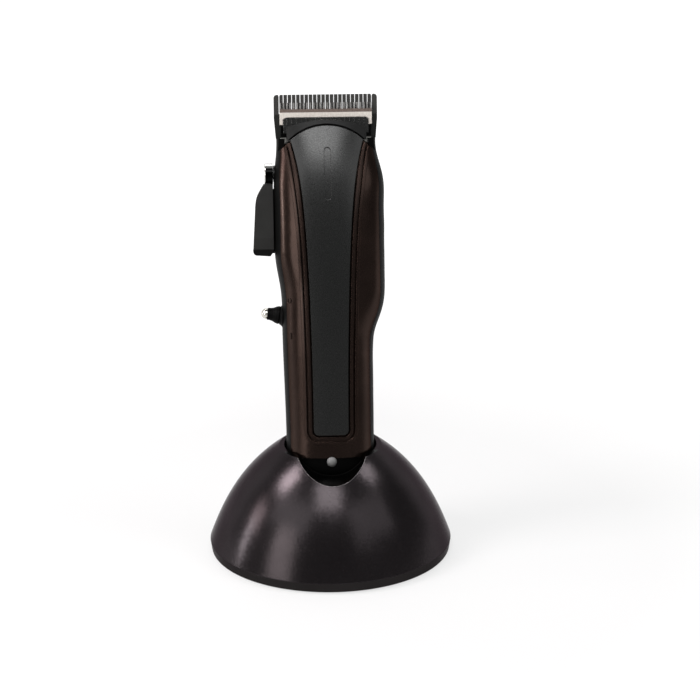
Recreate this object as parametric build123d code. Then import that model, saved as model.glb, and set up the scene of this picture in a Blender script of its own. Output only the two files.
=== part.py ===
from build123d import *
from math import cos, radians, sin, sqrt
import os

# A cordless hair clipper standing in its charging dock, in millimetres.
# The dock frame has its origin at the middle of the foot pad, on the table, +Z up, and its
# front towards -Y. The clipper is modelled upright in its own frame, X across, Y through its
# depth (front is -Y) and Z along the body from the bottom of its tail, and then leans back.

# ---- Dock ----
DOCK_HALF_WIDTH = 55.8
DOCK_HALF_DEPTH = 50.4
DOCK_HEIGHT = 51.2
DOCK_RIM_HALF_WIDTH = 23.35
DOCK_RIM_HALF_DEPTH = 20.8
DOCK_WALL = 2.4
DOCK_BULGE = 0.574
BASE_TOP = 5.1
BASE_BOTTOM = 0.9
BASE_FLOOR = 2.4
BASE_WALL = 2.6
BASE_DRAFT = 0.6
PAD_HALF_WIDTH = 36.0
PAD_HALF_DEPTH = 31.0
PAD_THICKNESS = 1.4
NOTCH_HALF_WIDTH = 15.3
NOTCH_DEPTH = 8.0
NOTCH_WALL = 2.0
DOCK_SCREW_X = 34.0
DOCK_SCREW_Y = 30.0
DOCK_BOSS_RADIUS = 3.6
DOCK_SCREW_BITE = 8.0
SOCKET_GAP = 1.0
SOCKET_WALL = 1.6
SOCKET_FLOOR = 1.6
BALLAST_HALF_WIDTH = 24.0
BALLAST_FRONT = -32.0
BALLAST_BACK = 14.0
BALLAST_THICKNESS = 6.0
DOCK_BOARD_HALF_WIDTH = 12.0
DOCK_BOARD_FRONT = 20.0
DOCK_RIB_LENGTH = 20.0
DOCK_BOARD_LIFT = 3.6
BOARD_THICKNESS = 1.6
PLUG_RADIUS = 2.75
PLUG_DEPTH = 9.5
INLET_RADIUS = 4.4
INLET_FOOT_HEIGHT = 5.6
INLET_LENGTH = 15.0
INLET_FOOT_HALF_WIDTH = 4.0
INLET_FOOT_SET_IN = 5.0
PIN_RADIUS = 1.0
PIN_COLLAR_RADIUS = 1.5
PIN_COLLAR = 1.0
PIN_SPACING = 10.0
PIN_LENGTH = 7.5
PIN_TRAVEL = 1.2
PIN_BLOCK_DEPTH = 13.0
PIN_BLOCK_HALF_WIDTH = 8.5
PIN_BLOCK_HALF_DEPTH = 3.6
SPRING_WIRE = 0.3
SPRING_PITCH = 1.3

# ---- How the clipper stands in the dock ----
LEAN = 14.0
SEAT_DEPTH = 19.0
AXIS_AT_RIM_Y = 0.48

# ---- Clipper body ----
TAIL_CAP_TOP = 14.4
COVER_TOP = 157.2
SHOULDER_TOP = COVER_TOP + 0.8
PARTING_Y = -4.0
SEAM_LINE = [
    (-7.2, TAIL_CAP_TOP), (-7.8, TAIL_CAP_TOP + 45.6), (-8.8, TAIL_CAP_TOP + 90.6),
    (-8.6, COVER_TOP - 27.2), (-6.7, COVER_TOP - 10.2), (-4.2, SHOULDER_TOP)]
SHELL_WALL = 2.2
COVER_WALL = 2.7
TAIL_HALF_WIDTH = 20.0
TAIL_FLARE_HEIGHT = 9.0
TAIL_END_SHARE = 0.86
LEFT_WAIST = 21.1
LEFT_WAIST_HEIGHTS = (20.0, 76.0)
LEFT_GRIP = 23.9
LEFT_SWELL_HEIGHTS = (84.0, 108.0)
RIGHT_GRIP = 25.8
RIGHT_SWELL_HEIGHTS = (64.0, 89.0)
SHOULDER_HALF_WIDTH = 22.5
SHOULDER_HEIGHTS = (COVER_TOP - 16.2, COVER_TOP - 6.7)
FRONT_TAIL_DEPTH = 14.2
FRONT_GRIP_DEPTH = 16.2
FRONT_SWELL_HEIGHTS = (20.0, 100.0)
FRONT_SLOPE = 8.8
FRONT_SLOPE_START = COVER_TOP - 57.2
FRONT_SLOPE_END = COVER_TOP + 9.2
BACK_TAIL_DEPTH = 15.0
BACK_GRIP_DEPTH = 20.0
BACK_SWELL_HEIGHTS = (60.0, 108.0)
BACK_SLOPE = 11.0
BACK_SLOPE_HEIGHTS = (COVER_TOP - 39.2, COVER_TOP + 2.8)
FULLNESS = 0.68
COVER_KNEE = COVER_TOP - 20.2
COVER_KNEE_HALF_WIDTH = 26.6
COVER_BEND_HALF_WIDTH = 23.6
COVER_BEND_HEIGHT = COVER_TOP - 7.8
COVER_DRAFT_DEG = 10.0
FIT_GAP = 0.1
BOSS_RADIUS = 3.1
SCREW_RADIUS = 1.3
SCREW_HEAD_RADIUS = 2.5
SCREW_HEAD = 1.5
SCREW_FIT = 0.05
HOUSING_SCREW_PLACES = [(-13.2, 27.5), (13.2, 27.5), (-17.6, 112.0), (18.6, 112.0)]
HOUSING_HEAD_Y = 7.4
HOUSING_SCREW_TIP_Y = -8.4

# ---- Top plate, its frame and the nose ----
PLATE_BOTTOM = TAIL_CAP_TOP + 10.5
PLATE_TOP = COVER_TOP + 6.6
PLATE_CORNER_HEIGHT = COVER_TOP + 0.2
PLATE_CORNER_HALF_WIDTH = 16.2
PLATE_TAIL_HALF_WIDTH = 7.85
PLATE_CORNER_RADIUS = 2.2
PLATE_THICKNESS = 1.5
PLATE_GAP = 0.8
RIDGE_WIDTH = 1.2
RIDGE_HEIGHT = 0.55
COVER_TIP_WIDTH = 0.1
GROOVE_WIDTH = 1.1
GROOVE_DEPTH = 0.5
SLOT_TOP = PLATE_TOP - 9.5
SLOT_LENGTH = 23.4
SLOT_WIDTH = 2.9
SLOT_DEPTH = 0.8
NOSE_HALF_WIDTH = 17.8
NOSE_SIDE_TOP = COVER_TOP + 5.9
NOSE_TOP = COVER_TOP + 9.2
NOSE_WALL = 2.2
NOSE_TONGUE_LENGTH = 7.2
NOSE_TONGUE_HALF_WIDTH = 14.0
MARK_DEPTH = 0.25
RING_PLACE = (-18.1, 85.8)
BAR_PLACE = (-17.5, 70.0)
MARK_LINE = 0.4
RING_HALF_WIDTH = 0.9
RING_HALF_HEIGHT = 1.25
BAR_HALF_HEIGHT = 1.4

# ---- Blades ----
BLADE_LENGTH = 19.6
BLADE_TIP = SHOULDER_TOP + BLADE_LENGTH
BLADE_TIP_HALF_WIDTH = 23.25
BLADE_FOOT_HALF_WIDTH = 22.5
BLADE_CORNER = 1.2
BLADE_FACE_Y = 1.0
BLADE_THICKNESS = 3.2
BLADE_TIP_THICKNESS = 0.9
BLADE_RAMP = 13.6
BLADE_TOOTH_GAPS = 23
BLADE_GAP_WIDTH = 0.3
BLADE_MOUTH = 0.8
BLADE_MOUTH_FLARE = 0.3
BLADE_OUTER_TOOTH = 2.3
BLADE_ROOT = BLADE_TIP - 8.6
CUTTER_HALF_WIDTH = 20.7
CUTTER_TIP = BLADE_TIP - 3.6
CUTTER_ROOT = CUTTER_TIP - 2.4
CUTTER_BEVEL = CUTTER_ROOT - 2.0
CUTTER_BAND = CUTTER_BEVEL - 2.1
CUTTER_TANG = CUTTER_BAND - 3.4
CUTTER_LEG_FOOT = CUTTER_BAND - 3.2
CUTTER_LEG_WIDTH = 1.3
CUTTER_BRACE = 1.5
CUTTER_BRACE_DROP = 0.9
CUTTER_TEETH = 28
CUTTER_FACE_Y = BLADE_FACE_Y - 2.2
CUTTER_TOOTH_Y = BLADE_FACE_Y - 1.3
CUTTER_TANG_Y = BLADE_FACE_Y - 1.0
CUTTER_FILM = 0.05
CUTTER_STROKE = 1.2
YOKE_FRONT_Y = BLADE_FACE_Y - 3.2
YOKE_BACK_Y = BLADE_FACE_Y - 1.75
YOKE_TOP = CUTTER_BAND - 0.2
YOKE_SIDE_GAP = 0.3
YOKE_PRONG = 2.5
YOKE_RIBS = 17
YOKE_RIB_WIDTH = 0.6
YOKE_RIB_HEIGHT = 0.3

# ---- Blade bracket, chassis and carriage ----
BRACKET_FRONT_Y = BLADE_FACE_Y - 1.6
BRACKET_BOTTOM = SHOULDER_TOP - 9.0
BRACKET_TOP = CUTTER_TANG - 0.5
BRACKET_HALF_WIDTH = 20.3
BRACKET_NOTCH_HALF_WIDTH = 9.0
BRACKET_NOTCH_TOP = SHOULDER_TOP - 1.0
YOKE_SHOULDER = BRACKET_TOP - 3.2
YOKE_BOTTOM = SHOULDER_TOP - 11.0
YOKE_PRONG_HEIGHT = 5.4
CHASSIS_BOTTOM = SHOULDER_TOP - 11.0
CHASSIS_WINDOW_DEPTH = 5.5
CHASSIS_ROOF = 1.6
BLADE_SCREW_X = 13.0
BLADE_SCREW_Z = SHOULDER_TOP + 2.6
BRACKET_SCREW_X = 12.4
BRACKET_SCREW_Z = BRACKET_BOTTOM + 3.4
HEAD_SCREW_RADIUS = 1.25
HEAD_SCREW_HEAD_RADIUS = 2.2
HEAD_SCREW_HEAD = 1.1
CARRIAGE_FRONT_Y = YOKE_FRONT_Y - 1.4
CARRIAGE_THICKNESS = 1.0
CARRIAGE_BAR_BOTTOM = SHOULDER_TOP - 2.6
CARRIAGE_BAR_TOP = SHOULDER_TOP + 1.2
CARRIAGE_HALF_WIDTH = 16.8
CARRIAGE_LEG_WIDTH = 1.5
CARRIAGE_RAIL = 1.2
TENSION_ARM_X = 12.0
TENSION_ARM_WIDTH = 3.0
TENSION_THICKNESS = 0.3
TENSION_GAP = 0.1

# ---- Taper lever ----
LEVER_PIVOT_Z = SHOULDER_TOP - 15.6
LEVER_PIVOT_Y = 1.0
LEVER_TRAVEL_DEG = 36.0
CARRIAGE_TRAVEL = 2.6
HUB_RADIUS = 4.7
HUB_WIDTH = 4.0
HUB_GAP = 0.3
HUB_EDGE = 0.7
HANDLE_GAP = 0.35
HANDLE_OUTER_X = -33.5
HANDLE_SHOULDER_X = -31.7
HANDLE_SHOULDER_DROP = 6.2
HANDLE_LENGTH = 31.9
HANDLE_HALF_DEPTH = 4.2
HANDLE_FOOT_HALF_DEPTH = 5.0
SPINDLE_RADIUS = 2.4
BUSH_WALL = 1.2
SHAFT_FIT = 0.05
CAM_PIN_RADIUS = 1.1
CAM_PIN_FIT = 0.06
CAM_THICKNESS = 1.4

# ---- Toggle switch ----
TOGGLE_Z = 77.9
TOGGLE_SET_IN = 2.2
TOGGLE_TILT_DEG = 8.0
TOGGLE_BALL_RADIUS = 1.9
TOGGLE_PIN_RADIUS = 0.6
TOGGLE_NECK_RADIUS = 1.2
BOOT_GAP = 0.3
BOOT_RADIUS = 5.1
CAP_RIM_RADIUS = 4.1
CAP_FLANK = [(CAP_RIM_RADIUS, 3.8), (3.75, 5.0), (3.5, 5.5), (3.05, 6.4), (2.8, 7.6), (2.7, 8.9)]
TOGGLE_TIP_RADIUS = 2.5
TOGGLE_TIP_REACH = 9.3
TOGGLE_STEM_RADIUS = 0.8
TOGGLE_STEM_FOOT = 6.0
COLLAR_BARREL_RADIUS = 3.3
COLLAR_BASE_RADIUS = 4.9
COLLAR_DOME_RADIUS = 4.3
COLLAR_MOUTH_RADIUS = 2.3
SWITCH_BLOCK_HALF_HEIGHT = 5.5
SWITCH_BLOCK_HALF_DEPTH = 3.6

# ---- Motor ----
MOTOR_Y = 2.0
MOTOR_RADIUS = 12.0
MOTOR_LENGTH = 28.5
MOTOR_TOP = YOKE_BOTTOM - 22.5
MOTOR_BOTTOM = MOTOR_TOP - MOTOR_LENGTH
MOTOR_FLAT = 1.6
MOTOR_CAP = 2.6
MOTOR_MOUNT = 2.4
MOTOR_NECK_RADIUS = 3.5
MOTOR_NECK = 1.2
MOTOR_SCREW_X = 8.5
SHAFT_RADIUS = 1.0
ECCENTRIC_RADIUS = 4.2
ECCENTRIC_BOTTOM = MOTOR_TOP + MOTOR_MOUNT + HEAD_SCREW_HEAD + 1.4
ECCENTRIC_TOP = ECCENTRIC_BOTTOM + 8.0
ECCENTRIC_PIN_TOP = YOKE_BOTTOM + 4.6
ECCENTRIC_CORE = 0.1

# ---- Battery, board and tail ----
BATTERY_RADIUS = 9.1
BATTERY_BOTTOM = TAIL_CAP_TOP + 8.6
BATTERY_LENGTH = 65.0
BATTERY_Y = 2.0
BATTERY_BUTTON = 0.6
BATTERY_BUTTON_RADIUS = 3.2
BATTERY_NECK_DROP = 2.6
BATTERY_NECK_WIDTH = 0.8
BATTERY_NECK_DEPTH = 0.5
SADDLE_WIDTH = 4.0
SADDLE_HALF_WIDTH = 15.0
SADDLE_INSET = 18.0
TAB_THICKNESS = 0.3
TAB_WIDTH = 7.0
BOARD_HALF_WIDTH = 9.6
BOARD_BOTTOM = TAIL_CAP_TOP + 4.6
BOARD_LENGTH = 72.0
BOARD_FRONT_Y = -9.6
BOARD_POST_X = 7.6
BOARD_POST_RADIUS = 1.5
LENS_Z = TAIL_CAP_TOP - 1.6
LENS_RADIUS = 2.3
LENS_FLANGE = 0.5
LENS_DOME = 0.8
CONTACT_RADIUS = 1.8
CONTACT_RECESS = 0.4
CONTACT_Y = -4.5
JACK_Y = 4.6
JACK_RADIUS = 4.0
JACK_FLANGE = 0.8
JACK_FACE = 0.3
JACK_TOP = 12.0

# Longer than anything here, for cutting right through.
WIDE = 120.0


def save(node, *solids):
    """Writes one node, as one solid or as a group of separate ones."""
    shape = solids[0] if len(solids) == 1 else Compound(children=list(solids))
    shape.label = node
    export_step(shape, f"parts/{node}.step")


def stand(shape):
    """Moves a shape from the clipper's own frame to its leaning place in the dock."""
    lean = radians(LEAN)
    foot = (0, AXIS_AT_RIM_Y - SEAT_DEPTH * sin(lean), DOCK_HEIGHT - SEAT_DEPTH * cos(lean))
    return Pos(*foot) * Rot(-LEAN, 0, 0) * shape


def box(x0, x1, y0, y1, z0, z1):
    """A box between two corners."""
    middle = ((x0 + x1) / 2, (y0 + y1) / 2, (z0 + z1) / 2)
    return Pos(*middle) * Box(x1 - x0, y1 - y0, z1 - z0)


def rod(radius, z0, z1, x=0.0, y=0.0):
    """A round rod along Z."""
    return Pos(x, y, (z0 + z1) / 2) * Cylinder(radius, z1 - z0)


def rod_x(radius, x0, x1, y, z):
    """A round rod along X."""
    return Pos((x0 + x1) / 2, y, z) * Rot(0, 90, 0) * Cylinder(radius, abs(x1 - x0))


def rod_y(radius, y0, y1, x, z):
    """A round rod along Y."""
    return Pos(x, (y0 + y1) / 2, z) * Rot(90, 0, 0) * Cylinder(radius, abs(y1 - y0))


def prism_y(outline, y0, y1):
    """A closed wire drawn in the XZ plane, given depth from y0 to y1."""
    face = Face(outline)
    return Pos(0, y0, 0) * Solid.extrude(face, Vector(0, y1 - y0, 0))


def prism_x(points, x0, x1):
    """A polygon of (y, z) points, given width from x0 to x1."""
    face = Face(Wire.make_polygon([(x0, y, z) for y, z in points]))
    return Solid.extrude(face, Vector(x1 - x0, 0, 0))


def ease(heights, value):
    """Runs smoothly from 0 at the first height to 1 at the second."""
    start, end = heights
    share = min(1.0, max(0.0, (value - start) / (end - start)))
    return share * share * (3 - 2 * share)


def blend(low, high, heights, value):
    return low + (high - low) * ease(heights, value)


def one(shape):
    """The single solid of a result, whatever it is wrapped in."""
    solids = shape.solids()
    return max(solids, key=lambda solid: solid.volume)


# ---- The dock's dome ----

def dome_profile(share):
    """Flare and height of the dome's side, from the base (0) to the rim (1)."""
    rise = DOCK_HEIGHT - BASE_TOP
    flare = [1, 0.831, DOCK_BULGE, 0]
    heights = [0, 0.33, 0.72, 1]
    weights = [(1 - share) ** 3, 3 * (1 - share) ** 2 * share, 3 * (1 - share) * share ** 2, share ** 3]
    out = sum(weight * value for weight, value in zip(weights, flare))
    up = sum(weight * value for weight, value in zip(weights, heights))
    return out, BASE_TOP + rise * up


def dome(inset):
    """The solid dome, or the hollow inside it when inset by its wall."""
    sections = []
    count = 9
    for index in range(count):
        out, height = dome_profile(index / (count - 1))
        half_width = DOCK_RIM_HALF_WIDTH + (DOCK_HALF_WIDTH - DOCK_RIM_HALF_WIDTH) * out - inset
        half_depth = DOCK_RIM_HALF_DEPTH + (DOCK_HALF_DEPTH - DOCK_RIM_HALF_DEPTH) * out - inset
        sections.append(Pos(0, 0, height - inset) * Ellipse(half_width, half_depth))
    return loft(sections)


def notch(wall):
    """The round scoop in the front of the rim, that shows the clipper's lamp."""
    radius = (NOTCH_HALF_WIDTH ** 2 + NOTCH_DEPTH ** 2) / (2 * NOTCH_DEPTH)
    centre = DOCK_HEIGHT - NOTCH_DEPTH + radius
    return rod_y(radius + wall, -DOCK_HALF_DEPTH, 0, 0, centre)


def screw_places():
    return [(x, y) for x in (-DOCK_SCREW_X, DOCK_SCREW_X) for y in (-DOCK_SCREW_Y, DOCK_SCREW_Y)]


# ---- The clipper's outer skin ----

def half_widths(height):
    """Left and right half widths of the body at a height."""
    tail = TAIL_HALF_WIDTH * blend(TAIL_END_SHARE, 1.0, (0, TAIL_FLARE_HEIGHT), height)
    left = blend(tail, LEFT_WAIST, LEFT_WAIST_HEIGHTS, height)
    left = blend(left, LEFT_GRIP, LEFT_SWELL_HEIGHTS, height)
    right = blend(tail, RIGHT_GRIP, RIGHT_SWELL_HEIGHTS, height)
    left = blend(left, SHOULDER_HALF_WIDTH, SHOULDER_HEIGHTS, height)
    right = blend(right, SHOULDER_HALF_WIDTH, SHOULDER_HEIGHTS, height)
    return left, right


def depths(height):
    """Front and back depths of the body at a height."""
    tail = blend(TAIL_END_SHARE, 1.0, (0, TAIL_FLARE_HEIGHT), height)
    front = blend(FRONT_TAIL_DEPTH, FRONT_GRIP_DEPTH, FRONT_SWELL_HEIGHTS, height)
    slope = max(0.0, (height - FRONT_SLOPE_START) / (FRONT_SLOPE_END - FRONT_SLOPE_START))
    front = front * tail - FRONT_SLOPE * min(slope, 1.0) ** 3
    back = blend(BACK_TAIL_DEPTH, BACK_GRIP_DEPTH, BACK_SWELL_HEIGHTS, height)
    back = back * tail - BACK_SLOPE * ease(BACK_SLOPE_HEIGHTS, height)
    return front, back


def skin_section(height, inset):
    left, right = half_widths(height)
    front, back = depths(height)
    left, right, front, back = left - inset, right - inset, front - inset, back - inset
    corners = [(right, -front), (-left, -front), (-left, back), (right, back)]
    quarters = []
    for x, y in corners:
        ends = [(x, 0), (x, FULLNESS * y), (FULLNESS * x, y), (0, y)]
        quarters.append(Bezier(*[(px, py, height) for px, py in ends]))
    return Wire(quarters)


def skin(inset, bottom, top, steps):
    """The solid inside the body's skin, moved in by an inset, between two heights."""
    heights = [bottom + (top - bottom) * index / steps for index in range(steps + 1)]
    return Solid.make_loft([skin_section(height, inset) for height in heights])


def body_skin(inset, extra=0.0):
    return skin(inset, TAIL_CAP_TOP - extra, NOSE_TOP + 2, 20)


def tail_skin(inset, bottom=0.0):
    return skin(inset, bottom, TAIL_CAP_TOP, 5)


def plate_outline(grow):
    """The top plate's outline, grown sideways, down and up by the same distance."""
    bottom = PLATE_BOTTOM - grow
    foot = PLATE_TAIL_HALF_WIDTH + grow
    corner = PLATE_CORNER_HALF_WIDTH + grow
    radius = PLATE_CORNER_RADIUS + grow
    knee = PLATE_CORNER_HEIGHT + grow * 0.25
    waist = [(foot, bottom + radius), (foot + 0.85, 85), (foot + 2.85, 124.9)]
    flare = [(foot + 6.05, 148.5), (corner, knee)]
    right = Spline(*[(x, 0, z) for x, z in waist + flare], tangents=[(0, 0, 1), (0.3, 0, 0.95)])
    left = Spline(*[(-x, 0, z) for x, z in waist + flare], tangents=[(0, 0, 1), (-0.3, 0, 0.95)])
    arch = ThreePointArc((corner, 0, knee), (0, 0, PLATE_TOP + grow), (-corner, 0, knee))
    turn = radius * (1 - sqrt(0.5))
    round_right = ThreePointArc(
        (foot, 0, bottom + radius), (foot - turn, 0, bottom + turn), (foot - radius, 0, bottom))
    round_left = ThreePointArc(
        (-foot, 0, bottom + radius), (-foot + turn, 0, bottom + turn), (-foot + radius, 0, bottom))
    floor = Line((foot - radius, 0, bottom), (-foot + radius, 0, bottom))
    return Wire([right, arch, left, round_left, floor, round_right])


def plate_prism(grow):
    return prism_y(plate_outline(grow), -WIDE / 4, PARTING_Y)


def head_trim():
    """Everything in front of the parting plane that lies inside the cover's round shoulders."""
    knee, waist = COVER_KNEE, COVER_TOP / 2
    bend, bend_height = COVER_BEND_HALF_WIDTH, COVER_BEND_HEIGHT
    outer = COVER_KNEE_HALF_WIDTH
    tip = PLATE_CORNER_HALF_WIDTH + PLATE_GAP + COVER_TIP_WIDTH
    right = ThreePointArc((outer, 0, knee), (bend, 0, bend_height), (tip, 0, COVER_TOP))
    left = ThreePointArc((-outer, 0, knee), (-bend, 0, bend_height), (-tip, 0, COVER_TOP))
    sides = [Line((outer, 0, waist), (outer, 0, knee)), Line((-outer, 0, knee), (-outer, 0, waist))]
    ends = [Line((tip, 0, COVER_TOP), (-tip, 0, COVER_TOP)), Line((-outer, 0, waist), (outer, 0, waist))]
    face = Face(Wire([sides[0], right, ends[0], left, sides[1], ends[1]]))
    face = Pos(0, PARTING_Y, 0) * face
    top = extrude(face, amount=FRONT_GRIP_DEPTH + 2, dir=(0, -1, 0), taper=COVER_DRAFT_DEG)
    return top + box(-WIDE, WIDE, -WIDE, WIDE, -10, waist + 10)


def seam_space():
    """Everything behind the curved seam between the two halves of the body."""
    points = [(0, y, z) for y, z in SEAM_LINE]
    below, above = (0, points[0][1], -WIDE), (0, points[-1][1], 2 * WIDE)
    seam = Spline(*points, tangents=[(0, 0, 1), (0, 0.4, 1)])
    back_top, back_below = (0, WIDE, 2 * WIDE), (0, WIDE, -WIDE)
    rest = Polyline(points[-1], above, back_top, back_below, below, points[0])
    face = Face(Wire([seam] + list(rest.edges())))
    return Pos(-WIDE, 0, 0) * Solid.extrude(face, Vector(2 * WIDE, 0, 0))


# ---- Dock pieces ----

def make_dock_shell():
    hollow = dome(DOCK_WALL) + Pos(0, 0, BASE_TOP) * extrude(
        Ellipse(DOCK_HALF_WIDTH - DOCK_WALL, DOCK_HALF_DEPTH - DOCK_WALL), 0.01)
    hollow = hollow - notch(NOTCH_WALL)
    for x, y in screw_places():
        hollow = hollow - rod(DOCK_BOSS_RADIUS, BASE_TOP, DOCK_HEIGHT, x, y)
    shell = dome(0) - hollow - notch(0)
    shell = shell - stand(skin(-SOCKET_GAP, -6, SEAT_DEPTH + 12, 8))
    shell = shell - (stand(skin(-SOCKET_GAP - SOCKET_WALL - FIT_GAP, -8, SEAT_DEPTH + 6, 8)) & socket_zone())
    boss_foot = BASE_BOTTOM + BASE_FLOOR
    for x, y in screw_places():
        boss = rod(DOCK_BOSS_RADIUS, boss_foot, BASE_TOP + 1, x, y)
        shell = shell + boss
        shell = shell - rod(SCREW_RADIUS + SCREW_FIT, boss_foot, boss_foot + DOCK_SCREW_BITE + 1, x, y)
    hole_start = inlet_face() - INLET_LENGTH
    shell = shell - rod_y(INLET_RADIUS + FIT_GAP, hole_start, DOCK_HALF_DEPTH + 5, 0, inlet_height())
    return one(shell)


def socket_zone():
    """The space under the rim's roof, which the socket cup fills."""
    return box(-WIDE, WIDE, -WIDE, WIDE, 0, DOCK_HEIGHT - DOCK_WALL)


def make_dock_socket():
    cup = stand(skin(-SOCKET_GAP - SOCKET_WALL, -SOCKET_FLOOR, SEAT_DEPTH + 6, 7)) & socket_zone()
    cup = cup - stand(skin(-SOCKET_GAP, 0, SEAT_DEPTH + 12, 8))
    cup = cup - notch(FIT_GAP)
    for x in (-PIN_SPACING / 2, PIN_SPACING / 2):
        cup = cup - stand(rod(PIN_RADIUS + SHAFT_FIT, -SOCKET_FLOOR - 1, 1, x, CONTACT_Y))
    return one(cup)


def make_dock_base():
    height = BASE_TOP - BASE_BOTTOM
    bottom = Ellipse(DOCK_HALF_WIDTH - BASE_DRAFT, DOCK_HALF_DEPTH - BASE_DRAFT)
    top = Ellipse(DOCK_HALF_WIDTH, DOCK_HALF_DEPTH)
    plate = loft([Pos(0, 0, BASE_BOTTOM) * bottom, Pos(0, 0, BASE_TOP) * top])
    floor_top = BASE_BOTTOM + BASE_FLOOR
    inner = Ellipse(DOCK_HALF_WIDTH - BASE_WALL, DOCK_HALF_DEPTH - BASE_WALL)
    plate = plate - Pos(0, 0, floor_top) * extrude(inner, height)
    pad = Ellipse(PAD_HALF_WIDTH + FIT_GAP, PAD_HALF_DEPTH + FIT_GAP)
    plate = plate - extrude(pad, PAD_THICKNESS)
    for x, y in screw_places():
        plate = plate - rod(SCREW_RADIUS + SCREW_FIT, 0, BASE_TOP, x, y)
        plate = plate - rod(SCREW_HEAD_RADIUS + FIT_GAP, 0, BASE_BOTTOM + SCREW_HEAD, x, y)
    rib_front, rib_top = DOCK_BOARD_FRONT + 2, floor_top + DOCK_BOARD_LIFT
    for x in (-DOCK_BOARD_HALF_WIDTH + 3, DOCK_BOARD_HALF_WIDTH - 3):
        plate = plate + box(x - 1, x + 1, rib_front, rib_front + DOCK_RIB_LENGTH, floor_top - 0.5, rib_top)
    return one(plate)


def make_dock_screws():
    screws = []
    head_base = BASE_BOTTOM
    for x, y in screw_places():
        screw = rod(SCREW_HEAD_RADIUS, head_base, head_base + SCREW_HEAD, x, y)
        screw = screw + rod(SCREW_RADIUS, head_base, BASE_BOTTOM + BASE_FLOOR + DOCK_SCREW_BITE, x, y)
        screws.append(one(screw))
    return screws


def inlet_height():
    return BASE_BOTTOM + BASE_FLOOR + DOCK_BOARD_LIFT + BOARD_THICKNESS + INLET_FOOT_HEIGHT


def dome_half_depth(height):
    """The dome's half depth at a height, found by halving."""
    low, high = 0.0, 1.0
    while high - low > 1e-6:
        middle = (low + high) / 2
        if dome_profile(middle)[1] < height:
            low = middle
        else:
            high = middle
    return DOCK_RIM_HALF_DEPTH + (DOCK_HALF_DEPTH - DOCK_RIM_HALF_DEPTH) * dome_profile(low)[0]


def inlet_face():
    """Where the inlet ends, just proud of the dock's back."""
    return dome_half_depth(inlet_height()) + 0.3


def make_dock_inlet():
    z = inlet_height()
    face = inlet_face()
    front = face - INLET_LENGTH
    body = rod_y(INLET_RADIUS, front, face, 0, z)
    half = INLET_FOOT_HALF_WIDTH
    body = body + box(-half, half, front, face - INLET_FOOT_SET_IN, z - INLET_FOOT_HEIGHT, z)
    body = body - rod_y(PLUG_RADIUS, face - PLUG_DEPTH, face + 1, 0, z)
    return one(body)


def make_dock_board():
    z = BASE_BOTTOM + BASE_FLOOR + DOCK_BOARD_LIFT
    back = dome_half_depth(BASE_TOP + 2) - DOCK_WALL - 4.6
    return box(-DOCK_BOARD_HALF_WIDTH, DOCK_BOARD_HALF_WIDTH, DOCK_BOARD_FRONT, back, z, z + BOARD_THICKNESS)


def make_dock_chips():
    z = BASE_BOTTOM + BASE_FLOOR + DOCK_BOARD_LIFT + BOARD_THICKNESS
    chip = box(-3, 3, DOCK_BOARD_FRONT + 2, DOCK_BOARD_FRONT + 7, z, z + 1.4)
    capacitor = rod(2.5, z, z + 6, 8, DOCK_BOARD_FRONT + 5)
    regulator = box(-10, -6, DOCK_BOARD_FRONT + 3, DOCK_BOARD_FRONT + 8, z, z + 2)
    return [chip, capacitor, regulator]


def make_ballast():
    z = BASE_BOTTOM + BASE_FLOOR
    return box(-BALLAST_HALF_WIDTH, BALLAST_HALF_WIDTH, BALLAST_FRONT, BALLAST_BACK, z, z + BALLAST_THICKNESS)


def pin_tops():
    return [(x, CONTACT_Y) for x in (-PIN_SPACING / 2, PIN_SPACING / 2)]


def make_pin(x, y):
    top = CONTACT_RECESS
    foot = top - PIN_LENGTH
    pin = rod(PIN_RADIUS, foot, top, x, y) + rod(PIN_COLLAR_RADIUS, foot, foot + PIN_COLLAR, x, y)
    return stand(one(pin))


def make_pin_block():
    top = -SOCKET_FLOOR
    half = PIN_BLOCK_HALF_WIDTH
    block = box(-half, half, CONTACT_Y - PIN_BLOCK_HALF_DEPTH, CONTACT_Y + PIN_BLOCK_HALF_DEPTH,
                top - PIN_BLOCK_DEPTH, top)
    collar_top = CONTACT_RECESS - PIN_LENGTH + PIN_COLLAR + SHAFT_FIT
    floor = top - PIN_BLOCK_DEPTH + 1
    for x, y in pin_tops():
        block = block - rod(PIN_RADIUS + SHAFT_FIT, floor, top + 1, x, y)
        block = block - rod(PIN_COLLAR_RADIUS + SHAFT_FIT, floor, collar_top, x, y)
    return stand(one(block))


def make_pin_spring(x, y):
    low = -SOCKET_FLOOR - PIN_BLOCK_DEPTH + 1
    high = CONTACT_RECESS - PIN_LENGTH
    coil = PIN_COLLAR_RADIUS - SPRING_WIRE - 0.1
    path = Helix(SPRING_PITCH, high - low - 2 * SPRING_WIRE, coil)
    start = Plane(origin=path @ 0, z_dir=path % 0)
    wire = sweep(start * Circle(SPRING_WIRE), path=path)
    return stand(Pos(x, y, low + SPRING_WIRE) * one(wire))


# ---- Clipper shells ----

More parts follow.
